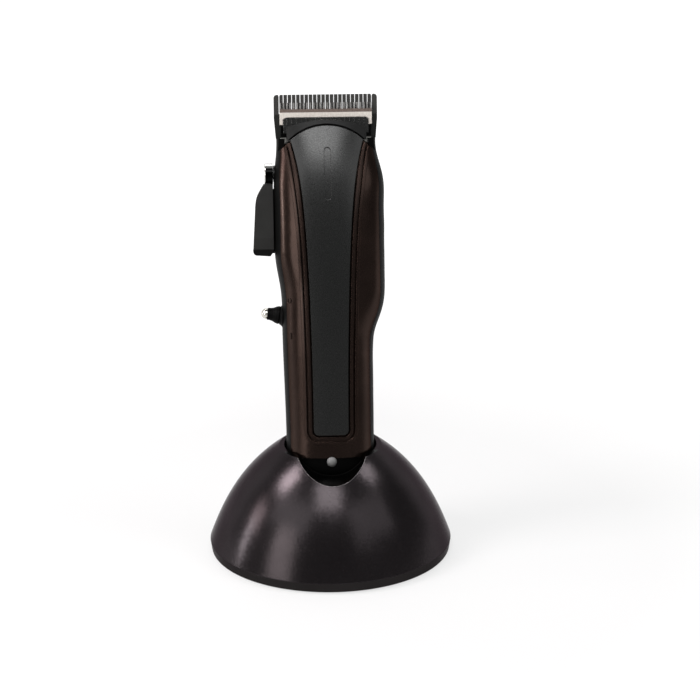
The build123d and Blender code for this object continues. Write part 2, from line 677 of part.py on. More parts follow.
def make_rear_housing():
    walls = body_skin(0) - body_skin(SHELL_WALL, 1)
    shell = walls & box(-WIDE, WIDE, PARTING_Y, WIDE, 0, SHOULDER_TOP)
    lip = walls & head_trim() & seam_space() & box(-WIDE, WIDE, -WIDE, PARTING_Y, 0, COVER_TOP)
    shell = shell + lip
    for x, z in HOUSING_SCREW_PLACES:
        boss = rod_y(BOSS_RADIUS, PARTING_Y, 30, x, z) & body_skin(0.3)
        shell = shell + boss
        shell = shell - rod_y(SCREW_RADIUS + SCREW_FIT, PARTING_Y - 1, 30, x, z)
        shell = shell - rod_y(SCREW_HEAD_RADIUS + FIT_GAP, HOUSING_HEAD_Y, 30, x, z)
    shell = shell - rod_x(COLLAR_BARREL_RADIUS + SHAFT_FIT, -30, -10, 0, TOGGLE_Z)
    bush_radius = SPINDLE_RADIUS + SHAFT_FIT + BUSH_WALL
    shell = shell - rod_x(bush_radius + 0.02, -30, -10, LEVER_PIVOT_Y, LEVER_PIVOT_Z)
    return one(shell)


def make_front_cover():
    outer = body_skin(0) & head_trim() & box(-WIDE, WIDE, -WIDE, PARTING_Y, 0, COVER_TOP)
    outer = outer - seam_space()
    frame = body_skin(-RIDGE_HEIGHT) & head_trim() & box(-WIDE, WIDE, -WIDE, PARTING_Y - 4, 0, COVER_TOP)
    inner_edge = PLATE_GAP
    first = inner_edge + RIDGE_WIDTH
    second = first + GROOVE_WIDTH
    third = second + RIDGE_WIDTH
    ridges = (frame & plate_prism(third)) - plate_prism(second)
    ridges = ridges + ((frame & plate_prism(first)) - plate_prism(inner_edge))
    cover = outer + ridges
    groove = (plate_prism(second) - plate_prism(first)) - body_skin(GROOVE_DEPTH)
    cover = cover - groove
    pocket = plate_prism(inner_edge) - body_skin(PLATE_THICKNESS + FIT_GAP)
    cover = cover - pocket - (body_skin(COVER_WALL, 1) - box(-WIDE, WIDE, -WIDE, WIDE, COVER_TOP + 1, 200))
    for x, z in HOUSING_SCREW_PLACES:
        boss = rod_y(BOSS_RADIUS, -20, PARTING_Y, x, z) & body_skin(COVER_WALL - 0.4)
        cover = cover + boss
        cover = cover - rod_y(SCREW_RADIUS + SCREW_FIT, HOUSING_SCREW_TIP_Y - 0.4, PARTING_Y + 1, x, z)
    for x in (-BOARD_POST_X, BOARD_POST_X):
        for z in (BOARD_BOTTOM + 3, (BOARD_BOTTOM + BOARD_LENGTH) - 3):
            post = rod_y(BOARD_POST_RADIUS, -20, BOARD_FRONT_Y, x, z) & body_skin(COVER_WALL - 0.4)
            cover = cover + post
    cover = cover - rod_y(LENS_RADIUS + SHAFT_FIT, -30, PARTING_Y, 0, LENS_Z)
    cover = cover - rod_y(LENS_RADIUS + LENS_FLANGE + FIT_GAP, SHELL_WALL - lens_face(), PARTING_Y, 0, LENS_Z)
    return one(cover)


def make_top_plate():
    plate = (body_skin(0) - body_skin(PLATE_THICKNESS)) & plate_prism(0)
    radius = SLOT_WIDTH / 2
    low, high = SLOT_TOP - SLOT_LENGTH + radius, SLOT_TOP - radius
    slot = box(-radius, radius, -WIDE, 0, low, high)
    for z in (low, high):
        slot = slot + rod_y(radius, -WIDE, 0, 0, z)
    return one(plate - (slot - body_skin(SLOT_DEPTH)))


def nose_outline(grow):
    side = NOSE_HALF_WIDTH + grow
    corner = NOSE_SIDE_TOP + grow
    arch = ThreePointArc((side, 0, corner), (0, 0, NOSE_TOP + grow), (-side, 0, corner))
    lines = [
        Line((-side, 0, corner), (-side, 0, COVER_TOP + FIT_GAP)),
        Line((-side, 0, COVER_TOP + FIT_GAP), (side, 0, COVER_TOP + FIT_GAP)),
        Line((side, 0, COVER_TOP + FIT_GAP), (side, 0, corner)),
    ]
    return Wire([arch] + lines)


def make_nose_cap():
    nose = body_skin(0) & prism_y(nose_outline(0), -WIDE / 4, PARTING_Y)
    tongue = NOSE_TONGUE_HALF_WIDTH
    foot = COVER_TOP - NOSE_TONGUE_LENGTH
    under = body_skin(COVER_WALL + FIT_GAP) & box(-tongue, tongue, -20, PARTING_Y, foot, COVER_TOP + 1)
    nose = nose + under
    nose = nose - (plate_prism(PLATE_GAP) - body_skin(PLATE_THICKNESS + FIT_GAP))
    hollow = body_skin(COVER_WALL + NOSE_WALL) & box(
        -tongue + 2, tongue - 2, -20, PARTING_Y + 1, foot - 1, NOSE_SIDE_TOP - 1)
    return one(nose - hollow)


def make_tail_cap():
    cap = tail_skin(0) - tail_skin(SHELL_WALL, SHELL_WALL)
    cap = cap - rod_y(LENS_RADIUS + SHAFT_FIT, -30, 0, 0, LENS_Z)
    for x, y in pin_tops():
        cap = cap - rod(CONTACT_RADIUS + SHAFT_FIT, -1, SHELL_WALL + 1, x, y)
    cap = cap - rod(JACK_RADIUS + SHAFT_FIT, -1, SHELL_WALL + 1, 0, JACK_Y)
    return one(cap)


def lens_face():
    """The front of the tail cap at the lamp."""
    return depths(LENS_Z)[0]


def make_lens():
    face = -lens_face()
    stem = rod_y(LENS_RADIUS, face + 0.3, face + SHELL_WALL, 0, LENS_Z)
    flange = rod_y(LENS_RADIUS + LENS_FLANGE, face + SHELL_WALL + 0.15, face + SHELL_WALL + 0.9, 0, LENS_Z)
    ball_radius = (LENS_RADIUS ** 2 + (LENS_DOME + 0.3) ** 2) / (2 * (LENS_DOME + 0.3))
    ball = Pos(0, face - LENS_DOME + ball_radius, LENS_Z) * Sphere(ball_radius)
    front = ball & rod_y(LENS_RADIUS, face - 3, face + 0.5, 0, LENS_Z)
    neck = rod_y(LENS_RADIUS - 0.4, face, face + SHELL_WALL + 0.5, 0, LENS_Z)
    return one(stem + front + neck + flange)


def make_led():
    back = -lens_face() + SHELL_WALL + 0.9
    lamp = box(-1.4, 1.4, back, back + 1.2, LENS_Z - 1.6, LENS_Z + 1.6)
    board = box(-4, 4, back + 1.2, back + 2.2, LENS_Z - 3.2, LENS_Z + 2.6)
    return one(lamp + board)


def make_contacts():
    contacts = []
    for x, y in pin_tops():
        contact = rod(CONTACT_RADIUS, CONTACT_RECESS, SHELL_WALL, x, y)
        contact = contact + rod(CONTACT_RADIUS + 1, SHELL_WALL, SHELL_WALL + 0.6, x, y)
        contacts.append(one(contact))
    return contacts


def make_tail_jack():
    jack = rod(JACK_RADIUS, JACK_FACE, JACK_TOP, 0, JACK_Y)
    jack = jack + rod(JACK_RADIUS + JACK_FLANGE, SHELL_WALL, JACK_TOP, 0, JACK_Y)
    return one(jack - rod(PLUG_RADIUS, -1, JACK_FACE + PLUG_DEPTH, 0, JACK_Y))


def make_marks():
    """The raised ring and bar beside the switch, for off and on."""
    skin_shell = body_skin(-MARK_DEPTH) - body_skin(-0.02)
    half_width, half_height, line = RING_HALF_WIDTH, RING_HALF_HEIGHT, MARK_LINE
    ring = Ellipse(half_width, half_height) - Ellipse(half_width - line, half_height - line)
    ring = Pos(RING_PLACE[0], 0, RING_PLACE[1]) * Rot(90, 0, 0) * ring
    bar_x, bar_z = BAR_PLACE
    half, reach = MARK_LINE * 0.7, BAR_HALF_HEIGHT
    bar = box(bar_x - half, bar_x + half, -20, PARTING_Y - 0.5, bar_z - reach, bar_z + reach)
    ring_solid = Pos(0, PARTING_Y - 0.5, 0) * extrude(ring, 20, dir=(0, -1, 0))
    return [one(ring_solid & skin_shell), one(bar & skin_shell)]


# ---- Battery and electronics ----

def make_battery():
    top = BATTERY_BOTTOM + BATTERY_LENGTH
    cell = rod(BATTERY_RADIUS, BATTERY_BOTTOM, top, 0, BATTERY_Y)
    low = top - BATTERY_NECK_DROP
    neck = rod(BATTERY_RADIUS + 1, low, low + BATTERY_NECK_WIDTH, 0, BATTERY_Y)
    neck = neck - rod(BATTERY_RADIUS - BATTERY_NECK_DEPTH, low - 1, top, 0, BATTERY_Y)
    button = rod(BATTERY_BUTTON_RADIUS, top - 1, top + BATTERY_BUTTON, 0, BATTERY_Y)
    return one(cell - neck + button)


def make_saddles():
    saddles = []
    top = BATTERY_BOTTOM + BATTERY_LENGTH
    for z in (BATTERY_BOTTOM + SADDLE_INSET, top - SADDLE_INSET - SADDLE_WIDTH):
        half = SADDLE_HALF_WIDTH
        rib = body_skin(SHELL_WALL + FIT_GAP) & box(-half, half, BATTERY_Y, 30, z, z + SADDLE_WIDTH)
        saddles.append(one(rib - rod(BATTERY_RADIUS + FIT_GAP, z - 1, z + SADDLE_WIDTH + 1, 0, BATTERY_Y)))
    return saddles


def make_tabs():
    half = TAB_WIDTH / 2
    low = BATTERY_BOTTOM
    high = BATTERY_BOTTOM + BATTERY_LENGTH + BATTERY_BUTTON
    front = BOARD_FRONT_Y + BOARD_THICKNESS
    negative = box(-half, half, front, BATTERY_Y + 3, low - TAB_THICKNESS, low)
    positive = box(-half, half, front, BATTERY_Y + 3, high, high + TAB_THICKNESS)
    return [negative, positive]


def make_board():
    return box(-BOARD_HALF_WIDTH, BOARD_HALF_WIDTH, BOARD_FRONT_Y, BOARD_FRONT_Y + BOARD_THICKNESS,
               BOARD_BOTTOM, (BOARD_BOTTOM + BOARD_LENGTH))


def make_chips():
    face = BOARD_FRONT_Y
    charger = box(-2.5, 2.5, face - 1.2, face, 30, 35)
    processor = box(-3, 3, face - 1.2, face, 46, 53)
    coil = box(-5.5, -1.5, face - 1.1, face, 62, 66)
    driver = box(1, 5, face - 1.2, face, 74, 79)
    return [charger, processor, coil, driver]


def make_switch_block():
    half, depth = SWITCH_BLOCK_HALF_HEIGHT, SWITCH_BLOCK_HALF_DEPTH
    outer = toggle_pivot_x() + TOGGLE_BALL_RADIUS + 0.2
    return box(outer, -BATTERY_RADIUS - 0.9, -depth, depth, TOGGLE_Z - half, TOGGLE_Z + half)


def wall_left(height):
    """The left wall's outer face, on the body's middle plane."""
    return -half_widths(height)[0]


def toggle_pivot_x():
    return wall_left(TOGGLE_Z) + TOGGLE_SET_IN


def sphere_height(radius, reach):
    """How far up a ball's surface is, at a distance from its axis."""
    return sqrt(radius ** 2 - reach ** 2)


def boot_place(shape):
    """Lays a shape, built along +Z from the toggle's pivot, straight out of the left side."""
    return Pos(toggle_pivot_x(), 0, TOGGLE_Z) * Rot(0, -90, 0) * shape


def toggle_place(shape):
    """Lays a shape out of the left side in the same way, tipped to off."""
    return Pos(toggle_pivot_x(), 0, TOGGLE_Z) * Rot(0, -90 + TOGGLE_TILT_DEG, 0) * shape


def turned(points):
    """A solid turned about Z from a profile of (radius, height) points."""
    face = Face(Wire.make_polygon([(radius, 0, height) for radius, height in points]))
    return revolve(face, Axis.Z)


def make_switch_collar():
    dome_foot = sphere_height(BOOT_RADIUS, COLLAR_DOME_RADIUS)
    base = COLLAR_BASE_RADIUS
    cone = turned([
        (0, 0), (base, 0), (base, TOGGLE_SET_IN), (COLLAR_DOME_RADIUS, dome_foot), (0, dome_foot)])
    cover = Sphere(BOOT_RADIUS) & rod(COLLAR_DOME_RADIUS, dome_foot - 0.01, BOOT_RADIUS)
    outside = boot_place(cone + cover) - body_skin(-0.02)
    wall = wall_left(TOGGLE_Z)
    barrel_end = toggle_pivot_x() + TOGGLE_BALL_RADIUS + 0.1
    barrel = rod_x(COLLAR_BARREL_RADIUS, barrel_end, wall - 0.8, 0, TOGGLE_Z)
    mouth = sphere_height(BOOT_RADIUS, COLLAR_MOUTH_RADIUS)
    funnel = Pos(0, 0, mouth / 2) * Cone(TOGGLE_NECK_RADIUS + 0.35, COLLAR_MOUTH_RADIUS, mouth)
    funnel = funnel + rod(COLLAR_MOUTH_RADIUS, mouth - 0.01, BOOT_RADIUS + 1)
    collar = outside + barrel - boot_place(Sphere(TOGGLE_BALL_RADIUS + 0.08) + funnel)
    pin_hole = TOGGLE_PIN_RADIUS + SHAFT_FIT
    return one(collar - rod_y(pin_hole, -base, base, toggle_pivot_x(), TOGGLE_Z))


def make_toggle_lever():
    ball = Sphere(TOGGLE_BALL_RADIUS)
    neck = rod(TOGGLE_NECK_RADIUS, 0, TOGGLE_STEM_FOOT)
    hollow = BOOT_RADIUS + BOOT_GAP
    rim = sphere_height(hollow, CAP_RIM_RADIUS)
    top = CAP_FLANK[-1][1]
    cap = turned([(0, rim - 0.5), (CAP_RIM_RADIUS, rim - 0.5)] + CAP_FLANK + [(0, top)])
    lever = ball + neck + (cap - Sphere(hollow))
    half_pin = COLLAR_BARREL_RADIUS - 0.3
    lever = lever + Rot(90, 0, 0) * Cylinder(TOGGLE_PIN_RADIUS, 2 * half_pin)
    lever = lever - Pos(0, 0, TOGGLE_TIP_REACH) * Sphere(TOGGLE_TIP_RADIUS)
    return toggle_place(one(lever - rod(TOGGLE_STEM_RADIUS, TOGGLE_STEM_FOOT, TOGGLE_TIP_REACH)))


def make_toggle_tip():
    tip = Pos(0, 0, TOGGLE_TIP_REACH) * Sphere(TOGGLE_TIP_RADIUS - 0.01)
    stem = rod(TOGGLE_STEM_RADIUS - 0.01, TOGGLE_STEM_FOOT + 0.01, TOGGLE_TIP_REACH)
    return toggle_place(one(tip + stem))


# ---- Motor and drive ----

def make_motor_can():
    can = rod(MOTOR_RADIUS, MOTOR_BOTTOM, MOTOR_TOP, 0, MOTOR_Y)
    flat = MOTOR_RADIUS - MOTOR_FLAT
    can = can & box(-WIDE, WIDE, MOTOR_Y - flat, MOTOR_Y + flat, 0, 2 * WIDE)
    can = can + rod(MOTOR_NECK_RADIUS, MOTOR_TOP, MOTOR_TOP + MOTOR_NECK, 0, MOTOR_Y)
    can = can - rod(SHAFT_RADIUS + SHAFT_FIT, MOTOR_BOTTOM - 1, MOTOR_TOP + 5, 0, MOTOR_Y)
    for x in (-MOTOR_SCREW_X, MOTOR_SCREW_X):
        can = can - rod(HEAD_SCREW_RADIUS + SCREW_FIT, MOTOR_TOP - 4, MOTOR_TOP + 1, x, MOTOR_Y)
    return one(can)


def make_motor_cap():
    cap = rod(MOTOR_RADIUS - 0.5, MOTOR_BOTTOM - MOTOR_CAP, MOTOR_BOTTOM, 0, MOTOR_Y)
    flat = MOTOR_RADIUS - MOTOR_FLAT - 0.6
    cap = cap & box(-WIDE, WIDE, MOTOR_Y - flat, MOTOR_Y + flat, 0, 2 * WIDE)
    return one(cap - rod(SHAFT_RADIUS + SHAFT_FIT, MOTOR_BOTTOM - 1.4, MOTOR_BOTTOM + 1, 0, MOTOR_Y))


def make_motor_mount():
    top = MOTOR_TOP + MOTOR_MOUNT
    plate = body_skin(COVER_WALL + 0.25) & box(-WIDE, WIDE, -30, 30, MOTOR_TOP, top)
    plate = plate - rod(MOTOR_NECK_RADIUS + FIT_GAP, MOTOR_TOP - 1, top + 1, 0, MOTOR_Y)
    for x in (-MOTOR_SCREW_X, MOTOR_SCREW_X):
        plate = plate - rod(HEAD_SCREW_RADIUS + SCREW_FIT, MOTOR_TOP - 1, top + 1, x, MOTOR_Y)
    return one(plate)


def make_motor_screws():
    screws = []
    top = MOTOR_TOP + MOTOR_MOUNT
    for x in (-MOTOR_SCREW_X, MOTOR_SCREW_X):
        screw = rod(HEAD_SCREW_RADIUS, MOTOR_TOP - 3.6, top, x, MOTOR_Y)
        screws.append(one(screw + rod(HEAD_SCREW_HEAD_RADIUS, top, top + HEAD_SCREW_HEAD, x, MOTOR_Y)))
    return screws


def core_heights():
    """Where the motor shaft ends and the offset pin begins, inside the eccentric."""
    middle = (ECCENTRIC_BOTTOM + ECCENTRIC_TOP) / 2
    return middle - ECCENTRIC_CORE, middle + ECCENTRIC_CORE


def make_motor_shaft():
    return rod(SHAFT_RADIUS, MOTOR_BOTTOM - 1.0, core_heights()[0], 0, MOTOR_Y)


def make_eccentric():
    shaft_end, pin_end = core_heights()
    disc = rod(ECCENTRIC_RADIUS, ECCENTRIC_BOTTOM, ECCENTRIC_TOP, 0, MOTOR_Y)
    disc = disc - rod(SHAFT_RADIUS + 0.01, ECCENTRIC_BOTTOM - 1, shaft_end, 0, MOTOR_Y)
    return one(disc - rod(SHAFT_RADIUS + 0.01, pin_end, ECCENTRIC_TOP + 1, CUTTER_STROKE, MOTOR_Y))


def make_eccentric_pin():
    return rod(SHAFT_RADIUS, core_heights()[1], ECCENTRIC_PIN_TOP, CUTTER_STROKE, MOTOR_Y)


# ---- Head: chassis, bracket and blades ----

def make_chassis():
    back_of_blade = BLADE_FACE_Y
    inside = body_skin(SHELL_WALL + FIT_GAP)
    block = inside & box(-WIDE, WIDE, back_of_blade, 30, CHASSIS_BOTTOM, SHOULDER_TOP)
    window = BRACKET_NOTCH_HALF_WIDTH
    block = block - box(-window, window, back_of_blade - 1, back_of_blade + CHASSIS_WINDOW_DEPTH,
                        CHASSIS_BOTTOM - 1, SHOULDER_TOP - CHASSIS_ROOF)
    for x in (-BRACKET_SCREW_X, BRACKET_SCREW_X):
        hole = rod_y(HEAD_SCREW_RADIUS + SCREW_FIT, back_of_blade - 1, back_of_blade + 5, x, BRACKET_SCREW_Z)
        block = block - hole
    return one(block)


def make_bracket():
    half = BRACKET_HALF_WIDTH
    notch_half = BRACKET_NOTCH_HALF_WIDTH
    plate = box(-half, half, BRACKET_FRONT_Y, BLADE_FACE_Y, BRACKET_BOTTOM, BRACKET_TOP)
    plate = plate - (box(-half, half, -5, 5, BRACKET_BOTTOM - 1, BRACKET_TOP) - bracket_room())
    plate = plate - box(-notch_half, notch_half, -5, 5, BRACKET_BOTTOM - 1, BRACKET_NOTCH_TOP)
    for x in (-BLADE_SCREW_X, BLADE_SCREW_X):
        plate = plate - rod_y(HEAD_SCREW_RADIUS + SCREW_FIT, -5, 5, x, BLADE_SCREW_Z)
    for x in (-BRACKET_SCREW_X, BRACKET_SCREW_X):
        plate = plate - rod_y(HEAD_SCREW_RADIUS + SCREW_FIT, -5, 5, x, BRACKET_SCREW_Z)
    return one(plate)


def bracket_room():
    """The space inside the rear housing's walls, and above them."""
    above = box(-WIDE, WIDE, -WIDE, WIDE, SHOULDER_TOP, 200)
    return above + body_skin(SHELL_WALL + FIT_GAP)


def make_bracket_screws():
    screws = []
    for x in (-BRACKET_SCREW_X, BRACKET_SCREW_X):
        face, z = BRACKET_FRONT_Y, BRACKET_SCREW_Z
        shank = rod_y(HEAD_SCREW_RADIUS, face, BLADE_FACE_Y + 4.6, x, z)
        head = rod_y(HEAD_SCREW_HEAD_RADIUS, face - HEAD_SCREW_HEAD, face, x, z)
        screws.append(one(shank + head))
    return screws


def tooth_pitch():
    comb = 2 * BLADE_TIP_HALF_WIDTH - 2 * BLADE_OUTER_TOOTH
    teeth = BLADE_TOOTH_GAPS - 1
    width = (comb - BLADE_TOOTH_GAPS * BLADE_GAP_WIDTH) / teeth
    return width + BLADE_GAP_WIDTH, width


def make_fixed_blade():
    tip, foot, corner = BLADE_TIP_HALF_WIDTH, BLADE_FOOT_HALF_WIDTH, BLADE_CORNER
    back = BLADE_FACE_Y + BLADE_THICKNESS
    nick = corner * 0.3
    right = [
        (foot, 0, SHOULDER_TOP), (tip, 0, BLADE_ROOT - 2), (tip, 0, BLADE_TIP - corner),
        (tip - nick, 0, BLADE_TIP - nick), (tip - corner, 0, BLADE_TIP)]
    left = [(-x, y, z) for x, y, z in reversed(right)]
    outline = Polyline(*right, *left, close=True)
    plate = prism_y(Wire(outline), BLADE_FACE_Y, back)
    ramp_foot = BLADE_TIP - BLADE_RAMP
    thin = BLADE_FACE_Y + BLADE_TIP_THICKNESS
    ramp = prism_x([(back + 1, ramp_foot), (back + 1, BLADE_TIP + 1), (thin, BLADE_TIP + 1),
                    (thin, BLADE_TIP), (back, ramp_foot)], -tip - 1, tip + 1)
    plate = plate - ramp
    pitch, width = tooth_pitch()
    cuts = []
    first = -tip + BLADE_OUTER_TOOTH + BLADE_GAP_WIDTH / 2
    half, flare = BLADE_GAP_WIDTH / 2, BLADE_MOUTH_FLARE
    for index in range(BLADE_TOOTH_GAPS):
        x = first + index * pitch
        cuts.append(box(x - half, x + half, 0, 6, BLADE_ROOT, BLADE_TIP + 1))
        if index not in (0, BLADE_TOOTH_GAPS - 1):
            continue
        mouth = Face(Wire.make_polygon([
            (x - half, 0, BLADE_TIP - BLADE_MOUTH), (x + half, 0, BLADE_TIP - BLADE_MOUTH),
            (x + half + flare, 0, BLADE_TIP + 0.01), (x - half - flare, 0, BLADE_TIP + 0.01)]))
        cuts.append(Solid.extrude(mouth, Vector(0, 6, 0)))
    plate = plate - cuts
    for x in (-BLADE_SCREW_X, BLADE_SCREW_X):
        plate = plate - rod_y(HEAD_SCREW_RADIUS + SCREW_FIT, 0, 6, x, BLADE_SCREW_Z)
        recess = HEAD_SCREW_HEAD_RADIUS + FIT_GAP
        plate = plate - rod_y(recess, back - HEAD_SCREW_HEAD, back + 1, x, BLADE_SCREW_Z)
    return one(plate)


def make_blade_screws():
    back = BLADE_FACE_Y + BLADE_THICKNESS
    screws = []
    for x in (-BLADE_SCREW_X, BLADE_SCREW_X):
        shank = rod_y(HEAD_SCREW_RADIUS, BRACKET_FRONT_Y, back, x, BLADE_SCREW_Z)
        head = rod_y(HEAD_SCREW_HEAD_RADIUS, back - HEAD_SCREW_HEAD, back, x, BLADE_SCREW_Z)
        screws.append(one(shank + head))
    return screws


def make_cutter():
    half = CUTTER_HALF_WIDTH
    back = BLADE_FACE_Y - CUTTER_FILM
    side = prism_x([
        (back, CUTTER_TANG), (CUTTER_TANG_Y, CUTTER_TANG), (CUTTER_TANG_Y, CUTTER_BAND),
        (CUTTER_FACE_Y, CUTTER_BAND), (CUTTER_FACE_Y, CUTTER_BEVEL), (CUTTER_TOOTH_Y, CUTTER_ROOT),
        (back - 0.5, CUTTER_TIP), (back, CUTTER_TIP)], -half, half)
    leg_inner = half - CUTTER_LEG_WIDTH
    brace = CUTTER_BRACE
    for sign in (-1, 1):
        leg = Face(Wire.make_polygon([
            (sign * half, 0, CUTTER_LEG_FOOT), (sign * half, 0, CUTTER_BAND + 1),
            (sign * (leg_inner - brace), 0, CUTTER_BAND + 1), (sign * (leg_inner - brace), 0, CUTTER_BAND),
            (sign * leg_inner, 0, CUTTER_BAND - CUTTER_BRACE_DROP), (sign * leg_inner, 0, CUTTER_LEG_FOOT)]))
        side = side + Pos(0, CUTTER_FACE_Y, 0) * Solid.extrude(leg, Vector(0, -CUTTER_FACE_Y + 0.5, 0))
    pitch = 2 * half / (CUTTER_TEETH - 0.5)
    cuts = []
    for index in range(CUTTER_TEETH - 1):
        x = -half + pitch * (index + 0.75)
        cuts.append(box(x - pitch / 4, x + pitch / 4, -3, 3, CUTTER_ROOT - 0.5, CUTTER_TIP + 1))
    return one(side - cuts)


def make_yoke():
    front, back = YOKE_FRONT_Y, YOKE_BACK_Y
    half = CUTTER_HALF_WIDTH - CUTTER_LEG_WIDTH - YOKE_SIDE_GAP
    plate = box(-half, half, front, back, YOKE_SHOULDER, YOKE_TOP)
    plate = plate + box(-half, half, front, CUTTER_TANG_Y, CUTTER_TANG + 0.1, YOKE_TOP)
    for sign in (-1, 1):
        corner = Face(Wire.make_polygon([
            (sign * (half - CUTTER_BRACE), 0, YOKE_TOP), (sign * (half + 1), 0, YOKE_TOP + 1),
            (sign * half, 0, YOKE_TOP - CUTTER_BRACE_DROP)]))
        plate = plate - Pos(0, front - 1, 0) * Solid.extrude(corner, Vector(0, 6, 0))
    inner = SHAFT_RADIUS + 2 * CUTTER_STROKE + 0.12
    outer = inner + YOKE_PRONG
    arm_bottom = YOKE_BOTTOM
    plate = plate + box(-outer, outer, front, back, arm_bottom, YOKE_SHOULDER + 0.1)
    depth = MOTOR_Y + CUTTER_STROKE + SHAFT_RADIUS + 0.4
    for sign in (-1, 1):
        x0, x1 = sorted((sign * inner, sign * outer))
        plate = plate + box(x0, x1, front, depth, YOKE_BOTTOM, YOKE_BOTTOM + YOKE_PRONG_HEIGHT)
    rib_half = YOKE_RIB_WIDTH / 2
    first = -half + CUTTER_BRACE + rib_half
    for index in range(YOKE_RIBS):
        x = first * (1 - 2 * index / (YOKE_RIBS - 1))
        plate = plate + box(x - rib_half, x + rib_half, front - YOKE_RIB_HEIGHT, front, CUTTER_TANG, YOKE_TOP)
    return one(plate)


# ---- Carriage, spring and taper lever ----

def cam_pin_place():
    """The cam pin's centre at rest, from the lever's pivot: forward and a little down."""
    half = radians(LEVER_TRAVEL_DEG / 2)
    reach = CARRIAGE_TRAVEL / (2 * sin(half))
    return LEVER_PIVOT_Y - reach * cos(half), LEVER_PIVOT_Z - CARRIAGE_TRAVEL / 2, reach


def make_carriage():
    back = CARRIAGE_FRONT_Y + CARRIAGE_THICKNESS
    half = CARRIAGE_HALF_WIDTH
    bar = box(-half, half, CARRIAGE_FRONT_Y, back, CARRIAGE_BAR_BOTTOM, CARRIAGE_BAR_TOP)
    pin_y, pin_z, reach = cam_pin_place()
    slot_half = CAM_PIN_RADIUS + CAM_PIN_FIT
    slot_front = LEVER_PIVOT_Y - reach - CAM_PIN_RADIUS - 0.3
    slot_back = pin_y + CAM_PIN_RADIUS + 0.3
    eye_bottom, eye_top = pin_z - slot_half - CARRIAGE_RAIL, pin_z + slot_half + CARRIAGE_RAIL
    leg_back = BRACKET_FRONT_Y - 0.3
    for sign in (-1, 1):
        x0, x1 = sorted((sign * half, sign * (half - CARRIAGE_LEG_WIDTH)))
        bar = bar + box(x0, x1, CARRIAGE_FRONT_Y, leg_back, eye_bottom, CARRIAGE_BAR_TOP)
        bar = bar + box(x0, x1, slot_front - CARRIAGE_RAIL, leg_back, eye_bottom, eye_top)
    slot = box(-half - 1, -half + 3, slot_front, slot_back, pin_z - slot_half, pin_z + slot_half)
    return one(bar - slot)


def make_tension_spring():
    """A bent strip with two arms that press the ribbed holder on the fixed blade."""
    foot, tip = CARRIAGE_BAR_BOTTOM, CUTTER_TANG - 0.4
    front = CARRIAGE_FRONT_Y - TENSION_THICKNESS
    bend = CARRIAGE_BAR_TOP
    tip_y = YOKE_FRONT_Y - TENSION_GAP
    outer = TENSION_ARM_X + TENSION_ARM_WIDTH / 2
    inner = TENSION_ARM_X - TENSION_ARM_WIDTH / 2
    strip = prism_x([
        (front, foot), (front, bend + 0.2), (tip_y - TENSION_THICKNESS, tip), (tip_y, tip),
        (CARRIAGE_FRONT_Y, bend + 0.1), (CARRIAGE_FRONT_Y, foot)], -outer, outer)
    return one(strip - box(-inner, inner, -10, 5, bend - 1, BLADE_TIP))


def hub_x():
    """The chrome hub's outer and inner faces, along X."""
    inner = wall_left(LEVER_PIVOT_Z) - HUB_GAP
    return inner - HUB_WIDTH, inner


def tang(grow):
    """The flat tongue of the handle that enters the hub from below."""
    middle = hub_x()[0] + HUB_WIDTH / 2
    y, z = LEVER_PIVOT_Y, LEVER_PIVOT_Z
    top = z - SPINDLE_RADIUS - 0.4 + grow
    return box(middle - 1 - grow, middle + 1 + grow, y - 2 - grow, y + 2 + grow, z - HUB_RADIUS - 1.5, top)


def make_handle():
    x0, x1 = HANDLE_OUTER_X, -LEFT_GRIP - HANDLE_GAP
    neck = hub_x()[0] - 0.3
    top = LEVER_PIVOT_Z - HUB_RADIUS
    foot = top - HANDLE_LENGTH
    shoulder = (HANDLE_SHOULDER_X, 0, top - HANDLE_SHOULDER_DROP)
    flank = (HANDLE_SHOULDER_X - 0.65, 0, shoulder[2] - 4)
    outline = Wire([
        Line((x1, 0, top), (neck, 0, top)),
        Spline((neck, 0, top), shoulder, flank, tangents=[(-0.5, 0, -0.87), (-0.08, 0, -1)]),
        Line(flank, (x0, 0, foot + 2.6)),
        ThreePointArc((x0, 0, foot + 2.6), (x0 + 0.5, 0, foot + 0.5), (x0 + 2, 0, foot)),
        Line((x0 + 2, 0, foot), (x1 - 1.6, 0, foot - 0.4)),
        Line((x1 - 1.6, 0, foot - 0.4), (x1, 0, foot + 2)),
        Line((x1, 0, foot + 2), (x1, 0, top)),
    ])
    y, deep, wide = LEVER_PIVOT_Y, HANDLE_HALF_DEPTH, HANDLE_FOOT_HALF_DEPTH
    half_side = [(deep - 0.8, top + 1), (deep, top - 8), (wide, foot + 8), (wide - 0.6, foot - 1)]
    mirrored = [(-depth, height) for depth, height in reversed(half_side)]
    side = prism_x([(y + depth, height) for depth, height in half_side + mirrored], x0 - 1, x1 + 1)
    handle = prism_y(outline, y - wide - 1, y + wide + 1) & side
    return one(handle - rod_x(HUB_RADIUS + SHAFT_FIT, x0, x1 + 3, y, LEVER_PIVOT_Z) + tang(0))


def make_hub():
    outer, inner = hub_x()
    y, z = LEVER_PIVOT_Y, LEVER_PIVOT_Z
    hub = rod_x(HUB_RADIUS, outer, inner, y, z)
    rims = hub.edges().filter_by(GeomType.CIRCLE).group_by(Axis.X)[0]
    hub = fillet(rims, HUB_EDGE) - tang(SHAFT_FIT)
    return one(hub - rod_x(SPINDLE_RADIUS + 0.02, outer + HUB_WIDTH * 0.3, inner + 1, y, z))


def make_spindle():
    outer = hub_x()[0] + HUB_WIDTH * 0.3
    return rod_x(SPINDLE_RADIUS, outer, cam_plate_x()[0], LEVER_PIVOT_Y, LEVER_PIVOT_Z)


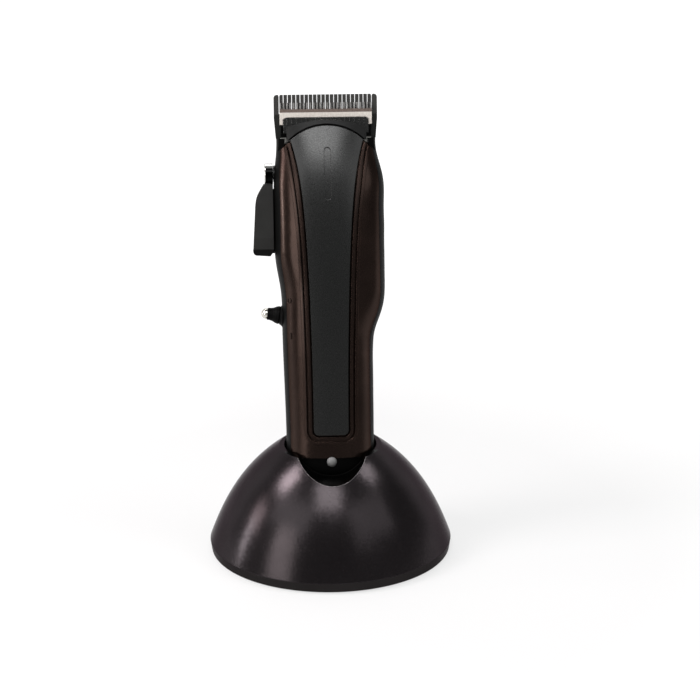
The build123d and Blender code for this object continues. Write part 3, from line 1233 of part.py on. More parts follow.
def cam_plate_x():
    """The cam plate's two faces, just outside the carriage's left leg."""
    inner = -CARRIAGE_HALF_WIDTH - 0.3
    return inner - CAM_THICKNESS, inner


def make_cam():
    x0, x1 = cam_plate_x()
    pin_y, pin_z, reach = cam_pin_place()
    hub = rod_x(SPINDLE_RADIUS + 0.9, x0, x1, LEVER_PIVOT_Y, LEVER_PIVOT_Z)
    eye = rod_x(CAM_PIN_RADIUS + 0.7, x0, x1, pin_y, pin_z)
    web = box(x0, x1, pin_y, LEVER_PIVOT_Y, pin_z - 1.5, pin_z + 2.2)
    pin = rod_x(CAM_PIN_RADIUS, x0, x1 + CARRIAGE_LEG_WIDTH + 0.6, pin_y, pin_z)
    return one(hub + eye + web + pin)


def make_bush():
    y, z = LEVER_PIVOT_Y, LEVER_PIVOT_Z
    outer = SPINDLE_RADIUS + SHAFT_FIT + BUSH_WALL
    wall = wall_left(z)
    bush = rod_x(outer, wall - 0.15, wall + SHELL_WALL, y, z)
    return one(bush - rod_x(SPINDLE_RADIUS + SHAFT_FIT, wall - 2, wall + SHELL_WALL + 1, y, z))


def make_housing_screws():
    screws = []
    for x, z in HOUSING_SCREW_PLACES:
        shank = rod_y(SCREW_RADIUS, HOUSING_SCREW_TIP_Y, HOUSING_HEAD_Y + SCREW_HEAD, x, z)
        head = rod_y(SCREW_HEAD_RADIUS, HOUSING_HEAD_Y, HOUSING_HEAD_Y + SCREW_HEAD, x, z)
        drive = rod_y(0.9, HOUSING_HEAD_Y + 0.6, HOUSING_HEAD_Y + 3, x, z)
        screws.append(one(shank + head - drive))
    return screws


def save_dock():
    save("dock_shell", make_dock_shell())
    save("dock_base_plate", make_dock_base())
    save("dock_grip_pad", extrude(Ellipse(PAD_HALF_WIDTH, PAD_HALF_DEPTH), PAD_THICKNESS))
    save("dock_screws", *make_dock_screws())
    save("dock_socket", make_dock_socket())
    save("dock_ballast", make_ballast())
    save("dock_board", make_dock_board())
    save("dock_board_chips", *make_dock_chips())
    save("dock_power_inlet", make_dock_inlet())
    save("dock_pin_block", make_pin_block())
    for side, (x, y) in zip(("left", "right"), pin_tops()):
        save(f"dock_pin_{side}", make_pin(x, y))
        save(f"dock_pin_spring_{side}", make_pin_spring(x, y))


def save_clipper(node, *solids):
    save(node, *[stand(solid) for solid in solids])


def save_body():
    save_clipper("rear_housing", make_rear_housing())
    save_clipper("front_cover", make_front_cover())
    save_clipper("top_plate", make_top_plate())
    save_clipper("nose_cap", make_nose_cap())
    save_clipper("tail_cap", make_tail_cap())
    save_clipper("status_lamp_lens", make_lens())
    save_clipper("status_lamp", make_led())
    save_clipper("charge_contacts", *make_contacts())
    save_clipper("tail_power_jack", make_tail_jack())
    save_clipper("switch_marks", *make_marks())
    save_clipper("housing_screws", *make_housing_screws())
    save_clipper("battery_cell", make_battery())
    save_clipper("battery_saddles", *make_saddles())
    save_clipper("battery_tabs", *make_tabs())
    save_clipper("main_board", make_board())
    save_clipper("main_board_chips", *make_chips())
    save_clipper("switch_block", make_switch_block())
    save_clipper("switch_collar", make_switch_collar())
    save_clipper("toggle_lever", make_toggle_lever())
    save_clipper("toggle_tip", make_toggle_tip())


def save_drive():
    save_clipper("motor_can", make_motor_can())
    save_clipper("motor_end_cap", make_motor_cap())
    save_clipper("motor_mount", make_motor_mount())
    save_clipper("motor_screws", *make_motor_screws())
    save_clipper("motor_shaft", make_motor_shaft())
    save_clipper("drive_eccentric", make_eccentric())
    save_clipper("eccentric_pin", make_eccentric_pin())


def save_head():
    save_clipper("head_chassis", make_chassis())
    save_clipper("blade_bracket", make_bracket())
    save_clipper("bracket_screws", *make_bracket_screws())
    save_clipper("fixed_blade", make_fixed_blade())
    save_clipper("blade_screws", *make_blade_screws())
    save_clipper("cutter_blade", make_cutter())
    save_clipper("cutter_yoke", make_yoke())
    save_clipper("cutter_carriage", make_carriage())
    save_clipper("tension_spring", make_tension_spring())
    save_clipper("taper_lever", make_handle())
    save_clipper("lever_hub", make_hub())
    save_clipper("lever_spindle", make_spindle())
    save_clipper("lever_cam", make_cam())
    save_clipper("lever_bush", make_bush())


os.makedirs("parts", exist_ok=True)
save_dock()
save_body()
save_drive()
save_head()
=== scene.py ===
import math

import bmesh
import bpy
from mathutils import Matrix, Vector


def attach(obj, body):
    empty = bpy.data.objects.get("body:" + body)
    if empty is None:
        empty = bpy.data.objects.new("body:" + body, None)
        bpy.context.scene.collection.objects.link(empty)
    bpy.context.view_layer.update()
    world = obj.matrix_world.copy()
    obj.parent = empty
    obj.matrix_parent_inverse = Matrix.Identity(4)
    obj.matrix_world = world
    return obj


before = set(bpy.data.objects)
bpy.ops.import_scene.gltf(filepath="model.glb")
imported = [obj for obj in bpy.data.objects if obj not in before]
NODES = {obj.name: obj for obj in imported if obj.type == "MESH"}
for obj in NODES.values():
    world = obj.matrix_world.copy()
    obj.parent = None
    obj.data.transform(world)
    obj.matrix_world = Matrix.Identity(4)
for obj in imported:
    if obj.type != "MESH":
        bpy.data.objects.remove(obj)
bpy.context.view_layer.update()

# A hair clipper standing in its charging dock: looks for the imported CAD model.
# Metres, +Z up, the front faces -Y. The clipper leans back in the dock.

# ---- Camera ----
TARGET = Vector((0.0, 0.00766, 0.0941))
CAMERA_DISTANCE = 0.957
CAMERA_AZIMUTH = math.radians(-2.5)
CAMERA_ELEVATION = math.radians(21.0)
CAMERA_LENS = 108.46
PAN_RIGHT = 0.0094

# ---- How the clipper stands ----
LEAN = math.radians(14.0)
FOOT = Vector((0.0, -0.004117, 0.032764))
ALONG = Vector((0.0, math.sin(LEAN), math.cos(LEAN)))
ACROSS = Vector((0.0, math.cos(LEAN), -math.sin(LEAN)))

# ---- Heights along the clipper at which a piece's look changes ----
SHOULDER_TOP = 0.158
BLADE_ROOT = 0.169
LEVER_FOOT = 0.1058
CUTTER_ROOT = 0.1716
CUTTER_BEVEL = 0.1696
# Above this height the lever's hub is chrome as a painted highlight, and below it painted black as its dark
# reflection.
HUB_HIGHLIGHT_FROM = 0.1450

# How far out, along X, the painted highlight on the chrome end of the lever's hub begins.
HUB_HIGHLIGHT_END = -0.0276

# ---- The rail behind the lowered taper lever ----
RAIL_ROOT = -0.0218
RAIL_FACE = -0.0247
RAIL_Y = 0.0073
RAIL_RADIUS = 0.0008
RAIL_FOOT = 0.1068
RAIL_TOP = 0.1345
RAIL_END_STEPS = 8
# Each ring of the rail, from its root out: where it lies along X, and its share of the full width.
RAIL_RINGS = (
    (RAIL_ROOT, 1.0), (RAIL_FACE + 0.0004, 1.0), (RAIL_FACE + 0.0001, 0.85), (RAIL_FACE, 0.55))

# ---- The lamp's notch in the dock ----
NOTCH_REACH = 0.024
NOTCH_HALF = 0.0163
NOTCH_BACK = -0.008
NOTCH_LOW = 0.040
# A face whose normal's Y is above this is a wall of the notch, and below it the dome's outside.
NOTCH_WALL_FACING = -0.06
# How far the rounded and the true normal agree where the painted edge highlight is full, and where there is
# none.
EDGE_HIGHLIGHT_AGREEMENT = (0.90, 0.985)
EDGE_HIGHLIGHT_WIDTH = 0.0004


def make_camera():
    azimuth, elevation = CAMERA_AZIMUTH, CAMERA_ELEVATION
    back = Vector((math.sin(azimuth) * math.cos(elevation),
                   -math.cos(azimuth) * math.cos(elevation), math.sin(elevation)))
    right = Vector((math.cos(azimuth), math.sin(azimuth), 0.0))
    data = bpy.data.cameras.new("camera")
    data.lens = CAMERA_LENS
    data.sensor_width = 36.0
    data.clip_start, data.clip_end = 0.05, 50.0
    camera = bpy.data.objects.new("camera", data)
    bpy.context.scene.collection.objects.link(camera)
    camera.location = TARGET + back * CAMERA_DISTANCE
    aim = (TARGET + right * PAN_RIGHT) - camera.location
    camera.rotation_euler = aim.to_track_quat("-Z", "Y").to_euler()
    bpy.context.scene.camera = camera


# ---- Material building ----

class Look:
    """One procedural material under construction."""

    def __init__(self, name):
        self.material = bpy.data.materials.new(name)
        self.material.use_nodes = True
        self.nodes, self.links = self.material.node_tree.nodes, self.material.node_tree.links
        self.nodes.clear()
        self.shader = self.nodes.new("ShaderNodeBsdfPrincipled")
        output = self.nodes.new("ShaderNodeOutputMaterial")
        self.link(self.shader.outputs["BSDF"], output.inputs["Surface"])

    def link(self, source, target):
        self.links.new(source, target)

    def set(self, **values):
        for name, value in values.items():
            self.shader.inputs[name.replace("_", " ")].default_value = value

    def place(self, scale=(1.0, 1.0, 1.0)):
        coordinates = self.nodes.new("ShaderNodeTexCoord")
        mapping = self.nodes.new("ShaderNodeMapping")
        mapping.inputs["Scale"].default_value = scale
        self.link(coordinates.outputs["Object"], mapping.inputs["Vector"])
        return mapping.outputs["Vector"]

    def noise(self, vector, scale, detail=3.0, roughness=0.55):
        texture = self.nodes.new("ShaderNodeTexNoise")
        texture.inputs["Scale"].default_value = scale
        texture.inputs["Detail"].default_value = detail
        texture.inputs["Roughness"].default_value = roughness
        self.link(vector, texture.inputs["Vector"])
        return texture.outputs["Fac"]

    def spread(self, value, low, high, start=0.3, end=0.7):
        """Maps a texture's value onto a range."""
        node = self.nodes.new("ShaderNodeMapRange")
        node.inputs["From Min"].default_value = start
        node.inputs["From Max"].default_value = end
        node.inputs["To Min"].default_value = low
        node.inputs["To Max"].default_value = high
        self.link(value, node.inputs["Value"])
        return node.outputs["Result"]

    def mix(self, factor, first, second):
        node = self.nodes.new("ShaderNodeMix")
        node.data_type = "RGBA"
        self.link(factor, node.inputs["Factor"])
        for socket, value in (("A", first), ("B", second)):
            target = [i for i in node.inputs if i.name == socket and i.type == "RGBA"][0]
            if hasattr(value, "is_output"):
                self.link(value, target)
            else:
                target.default_value = (*value, 1.0)
        return [o for o in node.outputs if o.type == "RGBA"][0]

    def math(self, operation, first, second=None):
        node = self.nodes.new("ShaderNodeMath")
        node.operation = operation
        for index, value in enumerate((first, second)):
            if hasattr(value, "is_output"):
                self.link(value, node.inputs[index])
            elif value is not None:
                node.inputs[index].default_value = value
        return node.outputs[0]

    def height(self):
        """How far along the leaning clipper a point lies, in metres from the bottom of its tail."""
        coordinates = self.nodes.new("ShaderNodeTexCoord")
        move = self.nodes.new("ShaderNodeVectorMath")
        move.operation = "SUBTRACT"
        self.link(coordinates.outputs["Object"], move.inputs[0])
        move.inputs[1].default_value = FOOT
        dot = self.nodes.new("ShaderNodeVectorMath")
        dot.operation = "DOT_PRODUCT"
        self.link(move.outputs[0], dot.inputs[0])
        dot.inputs[1].default_value = ALONG
        return dot.outputs["Value"]

    def step(self, value, edge, blur=0.0003):
        """0 below an edge and 1 above it."""
        return self.spread(value, 0.0, 1.0, edge - blur, edge + blur)

    def soft_edges(self, radius):
        node = self.nodes.new("ShaderNodeBevel")
        node.samples = 4
        node.inputs["Radius"].default_value = radius
        return node.outputs["Normal"]

    def bump(self, height, strength, distance, normal=None):
        node = self.nodes.new("ShaderNodeBump")
        node.inputs["Strength"].default_value = strength
        node.inputs["Distance"].default_value = distance
        self.link(height, node.inputs["Height"])
        if normal is not None:
            self.link(normal, node.inputs["Normal"])
        return node.outputs["Normal"]

    def jitter(self, normal, cells, amount):
        """Turns each small cell's normal a little, as metallic flakes lie."""
        centre = self.nodes.new("ShaderNodeVectorMath")
        centre.operation = "SUBTRACT"
        self.link(cells, centre.inputs[0])
        centre.inputs[1].default_value = (0.5, 0.5, 0.5)
        scale = self.nodes.new("ShaderNodeVectorMath")
        scale.operation = "SCALE"
        self.link(centre.outputs[0], scale.inputs[0])
        scale.inputs["Scale"].default_value = amount
        add = self.nodes.new("ShaderNodeVectorMath")
        add.operation = "ADD"
        self.link(normal, add.inputs[0])
        self.link(scale.outputs[0], add.inputs[1])
        even = self.nodes.new("ShaderNodeVectorMath")
        even.operation = "NORMALIZE"
        self.link(add.outputs[0], even.inputs[0])
        return even.outputs[0]


PLASTIC_TONE_SPREAD = 0.2
PLASTIC_ROUGH_SPREAD = 0.06
METAL_SCRATCH_SCALE = 900.0
METAL_DULL_SHARE = 0.82
FLAKE_SCALE = 2600.0
DARK_SHARE = 0.8


def plastic(name, colour, roughness, specular=0.5, grain=0.00002, grain_scale=2500.0, coat=0.0,
            coat_roughness=0.08, metallic=0.0, edge=0.0002, edge_tint=1.0):
    """Moulded plastic: a fine texture in its gloss, tone and surface, and softened edges.

    Without a colour, the caller gives the look its base colour.
    """
    look = Look(name)
    vector = look.place()
    fine = look.noise(vector, grain_scale, 2.0)
    if colour:
        broad = look.noise(vector, 60.0)
        darker = tuple(c * (1 - PLASTIC_TONE_SPREAD) for c in colour)
        lighter = tuple(c * (1 + PLASTIC_TONE_SPREAD) for c in colour)
        look.link(look.mix(look.spread(broad, 0.0, 1.0), darker, lighter), look.shader.inputs["Base Color"])
    rough = look.spread(fine, roughness - PLASTIC_ROUGH_SPREAD, roughness + PLASTIC_ROUGH_SPREAD)
    look.link(rough, look.shader.inputs["Roughness"])
    look.set(Metallic=metallic, Specular_IOR_Level=specular, Coat_Weight=coat, Coat_Roughness=coat_roughness)
    look.set(Specular_Tint=(edge_tint, edge_tint, edge_tint, 1.0))
    look.link(look.bump(fine, 0.5, grain, look.soft_edges(edge)), look.shader.inputs["Normal"])
    return look


def metal(name, colour, roughness, scratch=(1.0, 1.0, 1.0), depth=0.00001, edge=0.00015):
    """Metal with fine marks, drawn out along one direction where the scratch scales differ.

    Without a colour, the caller gives the look its base colour.
    """
    look = Look(name)
    marks = look.noise(look.place(scratch), METAL_SCRATCH_SCALE, 4.0, 0.65)
    if colour:
        broad = look.noise(look.place(), 130.0)
        dull = tuple(c * METAL_DULL_SHARE for c in colour)
        look.link(look.mix(look.spread(broad, 0.0, 1.0), dull, colour), look.shader.inputs["Base Color"])
    look.link(look.spread(marks, roughness * 0.7, roughness * 1.35), look.shader.inputs["Roughness"])
    look.set(Metallic=1.0)
    look.link(look.bump(marks, 0.35, depth, look.soft_edges(edge)), look.shader.inputs["Normal"])
    return look


def flake_paint(name, colour, roughness, specular, metallic, flake_turn, edge):
    """Dark paint over fine metallic flakes, which sparkle only where a lamp is mirrored."""
    look = Look(name)
    vector = look.place()
    cells = look.nodes.new("ShaderNodeTexVoronoi")
    cells.inputs["Scale"].default_value = FLAKE_SCALE
    look.link(vector, cells.inputs["Vector"])
    broad = look.noise(vector, 45.0)
    darker = tuple(c * DARK_SHARE for c in colour)
    look.link(look.mix(look.spread(broad, 0.0, 1.0), darker, colour), look.shader.inputs["Base Color"])
    fine = look.noise(vector, 1900.0, 2.0)
    look.link(look.spread(fine, roughness - 0.05, roughness + 0.05), look.shader.inputs["Roughness"])
    look.set(Metallic=metallic, Specular_IOR_Level=specular, Specular_Tint=(0.50, 0.48, 0.49, 1.0))
    turned = look.jitter(look.soft_edges(edge), cells.outputs["Color"], flake_turn)
    look.link(look.bump(fine, 0.3, 0.00001, turned), look.shader.inputs["Normal"])
    return look


def split_tone(look, edge, below, above, blur=0.0003):
    """Gives a look one colour below a height along the clipper and another above it."""
    vector = look.place()
    broad = look.noise(vector, 90.0)
    low = look.mix(look.spread(broad, 0.0, 1.0), tuple(c * DARK_SHARE for c in below), below)
    high = look.mix(look.spread(broad, 0.0, 1.0), tuple(c * DARK_SHARE for c in above), above)
    look.link(look.mix(look.step(look.height(), edge, blur), low, high), look.shader.inputs["Base Color"])


def make_bracket_look():
    """Stamped steel, blackened above the shoulders."""
    look = metal("bracket_steel", None, 0.22, (1.0, 1.0, 6.0))
    split_tone(look, SHOULDER_TOP + 0.0004, (0.75, 0.74, 0.70), (0.01, 0.01, 0.01))
    return look


def make_blade_look():
    """Black coated steel with ground grey teeth."""
    look = plastic("blade_black", None, 0.5, 0.15, edge=0.00008)
    split_tone(look, BLADE_ROOT - 0.0002, (0.014, 0.015, 0.014), (0.050, 0.050, 0.048), 0.0004)
    return look


def make_lever_look():
    """Satin black with a darker foot."""
    look = plastic("lever_black", None, 0.5, 0.15, edge=0.0004)
    split_tone(look, LEVER_FOOT + 0.0028, (0.001, 0.001, 0.001), (0.026, 0.026, 0.025), 0.0002)
    return look


def make_hub_look():
    """The lever's boss: chrome over its top and round its outer end as a painted highlight, and painted
    black below as its dark reflection.
    """
    look = metal("hub_chrome_painted_highlight", (0.72, 0.72, 0.70), 0.16, depth=0.000004, edge=0.0002)
    point = look.nodes.new("ShaderNodeSeparateXYZ")
    coordinates = look.nodes.new("ShaderNodeTexCoord")
    look.link(coordinates.outputs["Object"], point.inputs[0])
    top = look.step(look.height(), HUB_HIGHLIGHT_FROM, 0.0001)
    end = look.math("LESS_THAN", point.outputs["X"], HUB_HIGHLIGHT_END)
    painted_highlight = look.math("MAXIMUM", top, end)
    chrome = look.shader.inputs["Base Color"].links[0].from_socket
    # Painted light: chrome where the highlight falls, near-black below for the dark reflection.
    look.link(look.mix(painted_highlight, (0.004, 0.004, 0.004), chrome), look.shader.inputs["Base Color"])
    return look


def make_cutter_look():
    """Ground steel, as lit and shaded copies: a painted bright band, a painted dark brownish reflection on
    the bevel above it, and teeth painted dark grey as shade.
    """
    look = metal("cutter_steel", None, 0.5, (9.0, 1.0, 1.0), edge=0.0001)
    vector = look.place((9.0, 1.0, 1.0))
    marks = look.noise(vector, 500.0)
    # Painted light: the band lighter, and the bevel and teeth darker, as copies of one steel lit and shaded.
    lit_band = look.mix(look.spread(marks, 0.0, 1.0), (0.80, 0.74, 0.68), (0.95, 0.90, 0.84))
    shaded_bevel = look.mix(look.spread(marks, 0.0, 1.0), (0.09, 0.068, 0.058), (0.17, 0.135, 0.12))
    shaded_teeth = look.mix(look.spread(marks, 0.0, 1.0), (0.10, 0.097, 0.094), (0.20, 0.195, 0.19))
    upper = look.mix(look.step(look.height(), CUTTER_ROOT - 0.0004, 0.0003), shaded_bevel, shaded_teeth)
    tone = look.mix(look.step(look.height(), CUTTER_BEVEL, 0.0001), lit_band, upper)
    look.link(tone, look.shader.inputs["Base Color"])
    return look


def make_dock_look():
    """The dome's sparkling paint, with painted shade in black on the walls of the lamp's notch, and a
    painted highlight along the notch's edge.
    """
    look = flake_paint("dock_paint", (0.040, 0.0345, 0.0368), 0.225, 0.1, 0.97, 0.055, 0.0005)
    geometry = look.nodes.new("ShaderNodeNewGeometry")
    facing = look.nodes.new("ShaderNodeSeparateXYZ")
    look.link(geometry.outputs["True Normal"], facing.inputs[0])
    point = look.nodes.new("ShaderNodeSeparateXYZ")
    coordinates = look.nodes.new("ShaderNodeTexCoord")
    look.link(coordinates.outputs["Object"], point.inputs[0])
    beside = look.math("LESS_THAN", look.math("ABSOLUTE", point.outputs["X"]), NOTCH_REACH)
    front = look.math("LESS_THAN", point.outputs["Y"], NOTCH_BACK)
    high = look.math("GREATER_THAN", point.outputs["Z"], NOTCH_LOW)
    near = look.math("MULTIPLY", look.math("MULTIPLY", beside, front), high)
    # The notch's walls and the shell's inside there, painted black as shade.
    wall = look.math("MULTIPLY", near, look.math("GREATER_THAN", facing.outputs["Y"], NOTCH_WALL_FACING))
    agree = look.nodes.new("ShaderNodeVectorMath")
    agree.operation = "DOT_PRODUCT"
    look.link(geometry.outputs["True Normal"], agree.inputs[0])
    look.link(look.soft_edges(EDGE_HIGHLIGHT_WIDTH), agree.inputs[1])
    # A painted highlight along the notch's rim, where the rounded normal turns away from the true one.
    edge_highlight_share = look.spread(agree.outputs["Value"], 1.0, 0.0, *EDGE_HIGHLIGHT_AGREEMENT)
    outside = look.math("LESS_THAN", facing.outputs["Y"], NOTCH_WALL_FACING)
    rim = look.math("LESS_THAN", look.math("ABSOLUTE", point.outputs["X"]), NOTCH_HALF)
    edge = look.math("MULTIPLY", look.math("MULTIPLY", near, rim), look.math("MULTIPLY", edge_highlight_share, outside))
    painted = look.shader.inputs["Base Color"].links[0].from_socket
    # Painted shade on the notch's walls, then the painted edge highlight in pale grey.
    notch_shaded = look.mix(wall, painted, (0.0005, 0.0005, 0.0005))
    look.link(look.mix(edge, notch_shaded, (0.50, 0.48, 0.48)), look.shader.inputs["Base Color"])
    metallic = look.spread(look.math("MAXIMUM", wall, edge), 0.95, 0.0, 0.0, 1.0)
    look.link(metallic, look.shader.inputs["Metallic"])
    return look


def make_lens_look():
    """Frosted clear plastic with painted light: lighter in the middle and painted darker towards its rim, by
    how far its face turns from the view.
    """
    look = plastic("lens_frosted", None, 0.35)
    facing = look.nodes.new("ShaderNodeLayerWeight")
    facing.inputs["Blend"].default_value = 0.35
    rim = look.spread(facing.outputs["Facing"], 0.0, 1.0, 0.05, 0.6)
    # Painted highlight in the middle and painted shade towards the rim.
    tone = look.mix(rim, (0.20, 0.20, 0.20), (0.02, 0.02, 0.02))
    look.link(tone, look.shader.inputs["Base Color"])
    return look


def make_looks():
    return {
        "dock_paint": make_dock_look(),
        "dock_base": flake_paint("dock_base", (0.026, 0.0235, 0.0235), 0.42, 0.1, 0.8, 0.10, 0.0004),
        "grip_rubber": plastic("grip_rubber", (0.012, 0.012, 0.012), 0.85, 0.3),
        "socket_black": plastic("socket_black", (0.0012, 0.0012, 0.0012), 0.6, 0.05),
        "housing_black": plastic("housing_black", (0.002, 0.0021, 0.002), 0.5, 0.05),
        "tail_black": plastic("tail_black", (0.0008, 0.0008, 0.0008), 0.45, 0.04),
        "cover_brown": plastic("cover_brown", (0.034, 0.0220, 0.0180), 0.23, 0.1, metallic=0.95, edge=0.0005,
                               grain=0.000004, edge_tint=0.15, coat=0.1, coat_roughness=0.16),
        "plate_black": plastic("plate_black", (0.0014, 0.0018, 0.0015), 0.29, 0.62, grain=0.000012,
                               edge=0.0003),
        "nose_black": plastic("nose_black", (0.005, 0.0052, 0.005), 0.4, 0.2, edge=0.0003),
        "lens": make_lens_look(),
        "lamp": plastic("lamp_white", (0.7, 0.7, 0.66), 0.4),
        "screw": metal("screw_zinc", (0.5, 0.5, 0.5), 0.35),
        "steel": make_cutter_look(),
        "bracket": make_bracket_look(),
        "chrome": make_hub_look(),
        "ball": metal("ball_chrome", (0.78, 0.76, 0.70), 0.14, depth=0.000004),
        "gold": metal("contact_gold", (0.85, 0.62, 0.24), 0.25),
        "blade": make_blade_look(),
        "yoke": plastic("yoke_black", (0.012, 0.0125, 0.012), 0.25, 0.6, grain=0.00008, grain_scale=1400.0),
        "lever": make_lever_look(),
        "boot_black": plastic("boot_black", (0.001, 0.001, 0.001), 0.5, 0.06),
        "board_green": plastic("board_green", (0.01, 0.10, 0.04), 0.4),
        "acetal": plastic("acetal_white", (0.7, 0.7, 0.66), 0.4),
        "bush": metal("bush_steel", (0.02, 0.02, 0.02), 0.4),
        "wrap": plastic("cell_wrap", (0.03, 0.10, 0.2), 0.35),
    }


SHOWN_AS = {
    "dock_shell": "dock_paint",
    "dock_base_plate": "dock_base",
    "dock_grip_pad": "grip_rubber",
    "dock_socket": "socket_black",
    "dock_power_inlet": "socket_black",
    "dock_pin_block": "socket_black",
    "dock_screws": "screw",
    "dock_ballast": "screw",
    "dock_board": "board_green",
    "dock_board_chips": "socket_black",
    "dock_pin_left": "gold",
    "dock_pin_right": "gold",
    "dock_pin_spring_left": "screw",
    "dock_pin_spring_right": "screw",
    "rear_housing": "housing_black",
    "front_cover": "cover_brown",
    "top_plate": "plate_black",
    "nose_cap": "nose_black",
    "tail_cap": "tail_black",
    "status_lamp_lens": "lens",
    "status_lamp": "lamp",
    "charge_contacts": "gold",
    "tail_power_jack": "socket_black",
    "switch_marks": "cover_brown",
    "housing_screws": "screw",
    "battery_cell": "wrap",
    "battery_saddles": "socket_black",
    "battery_tabs": "screw",
    "main_board": "board_green",
    "main_board_chips": "socket_black",
    "switch_block": "socket_black",
    "switch_collar": "boot_black",
    "motor_can": "screw",
    "motor_end_cap": "acetal",
    "motor_mount": "socket_black",
    "motor_screws": "screw",
    "head_chassis": "socket_black",
    "blade_bracket": "bracket",
    "bracket_screws": "screw",
    "fixed_blade": "blade",
    "blade_screws": "screw",
    "lever_bush": "bush",
    "toggle_lever": "boot_black",
    "toggle_tip": "ball",
    "motor_shaft": "screw",
    "drive_eccentric": "acetal",
    "eccentric_pin": "screw",
    "cutter_carriage": "screw",
    "tension_spring": "screw",
    "cutter_blade": "steel",
    "cutter_yoke": "yoke",
    "taper_lever": "lever",
    "lever_hub": "chrome",
    "lever_spindle": "screw",
    "lever_cam": "screw",
}


def make_lever_rail(look):
    """A slim rail on the housing's side, right behind the lowered taper lever."""
    mesh = bmesh.new()
    outline = []
    for middle, start in ((RAIL_TOP, 0.0), (RAIL_FOOT, math.pi)):
        for step in range(RAIL_END_STEPS + 1):
            angle = start + math.pi * step / RAIL_END_STEPS
            outline.append((RAIL_Y + RAIL_RADIUS * math.cos(angle), middle + RAIL_RADIUS * math.sin(angle)))
    rings = []
    for x, shrink in RAIL_RINGS:
        ring = []
        for y, height in outline:
            y = RAIL_Y + (y - RAIL_Y) * shrink
            ring.append(mesh.verts.new(FOOT + Vector((x, 0, 0)) + ACROSS * y + ALONG * height))
        rings.append(ring)
    for near, far in zip(rings, rings[1:]):
        for i in range(len(near)):
            k = (i + 1) % len(near)
            mesh.faces.new((near[i], near[k], far[k], far[i]))
    mesh.faces.new(rings[0])
    mesh.faces.new(rings[-1])
    bmesh.ops.recalc_face_normals(mesh, faces=mesh.faces)
    data = bpy.data.meshes.new("lever_rail")
    mesh.to_mesh(data)
    mesh.free()
    data.materials.append(look)
    for face in data.polygons:
        face.use_smooth = True
    rail = bpy.data.objects.new("lever_rail", data)
    bpy.context.scene.collection.objects.link(rail)
    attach(rail, "clipper")


def dress_nodes(looks):
    for node, name in SHOWN_AS.items():
        mesh = NODES[node].data
        mesh.materials.clear()
        mesh.materials.append(looks[name].material)


# ---- Studio ----

ROOM_LIGHT = 0.22
FLOOR_SIDES = 96
FLOOR_RADIUS = 12.0
FLOOR_TONE = 0.3
FLOOR_GLOW = 0.65
# From where to where, in metres from the origin, the floor's glow grows to full white.
FLOOR_GLOW_REACH = (0.15, 0.6)
# From where to where along Y, in metres, the mirrored floor fades in from the front.
FLOOR_FADE = (-0.4, 0.0)
# The mirrored room, by the direction of the ray: its Z at the horizon and at the backdrop's top,
# and its Y where the backdrop and the white near the horizon fade in from the front.
HORIZON = (0.0, 0.14)
BACKDROP = (0.45, 0.75)
BACKDROP_FADE = (0.2, 0.5)
HORIZON_FADE = (-0.2, 0.3)
# What is left of the mirrored white right in front.
FRONT_SHARE = 0.12


def add_node(nodes, kind, **inputs):
    node = nodes.new(kind)
    for name, value in inputs.items():
        node.inputs[name.replace("_", " ")].default_value = value
    return node


def fade_node(nodes, links, value, reach, start, end):
    """Maps a value's reach onto a range from start to end."""
    low, high = reach
    node = add_node(nodes, "ShaderNodeMapRange", From_Min=low, From_Max=high, To_Min=start, To_Max=end)
    links.new(value, node.inputs["Value"])
    return node.outputs["Result"]


def math_node(nodes, links, operation, first, second):
    node = nodes.new("ShaderNodeMath")
    node.operation = operation
    for index, value in enumerate((first, second)):
        if hasattr(value, "is_output"):
            links.new(value, node.inputs[index])
        else:
            node.inputs[index].default_value = value
    return node.outputs[0]


def mirrored_rays(nodes, links):
    """Two outputs: 1 for the camera's rays, and 1 for rays mirrored in gloss or seen through glass."""
    path = nodes.new("ShaderNodeLightPath")
    glossy, through = path.outputs["Is Glossy Ray"], path.outputs["Is Transmission Ray"]
    return path.outputs["Is Camera Ray"], math_node(nodes, links, "MAXIMUM", glossy, through)


def make_world():
    """A dim room with a white background, which mirrors show near the horizon and as a backdrop behind."""
    world = bpy.data.worlds.new("studio")
    bpy.context.scene.world = world
    world.use_nodes = True
    nodes, links = world.node_tree.nodes, world.node_tree.links
    nodes.clear()
    output = nodes.new("ShaderNodeOutputWorld")
    room = add_node(nodes, "ShaderNodeBackground", Color=(1.0, 1.0, 1.0, 1.0), Strength=ROOM_LIGHT)
    white = add_node(nodes, "ShaderNodeBackground", Color=(1.0, 1.0, 1.0, 1.0), Strength=1.0)
    coordinates = nodes.new("ShaderNodeTexCoord")
    split = nodes.new("ShaderNodeSeparateXYZ")
    links.new(coordinates.outputs["Generated"], split.inputs[0])
    low = fade_node(nodes, links, split.outputs["Z"], HORIZON, 1.0, 0.0)
    wall = fade_node(nodes, links, split.outputs["Z"], BACKDROP, 1.0, 0.0)
    behind = fade_node(nodes, links, split.outputs["Y"], BACKDROP_FADE, 0.0, 1.0)
    backdrop = math_node(nodes, links, "MULTIPLY", wall, behind)
    front = fade_node(nodes, links, split.outputs["Y"], HORIZON_FADE, FRONT_SHARE, 1.0)
    low_white = math_node(nodes, links, "MULTIPLY", low, front)
    fade = math_node(nodes, links, "MAXIMUM", low_white, backdrop)
    camera, mirrored = mirrored_rays(nodes, links)
    near = math_node(nodes, links, "MULTIPLY", mirrored, fade)
    factor = math_node(nodes, links, "MAXIMUM", camera, near)
    mix = nodes.new("ShaderNodeMixShader")
    links.new(factor, mix.inputs["Fac"])
    links.new(room.outputs[0], mix.inputs[1])
    links.new(white.outputs[0], mix.inputs[2])
    links.new(mix.outputs[0], output.inputs["Surface"])


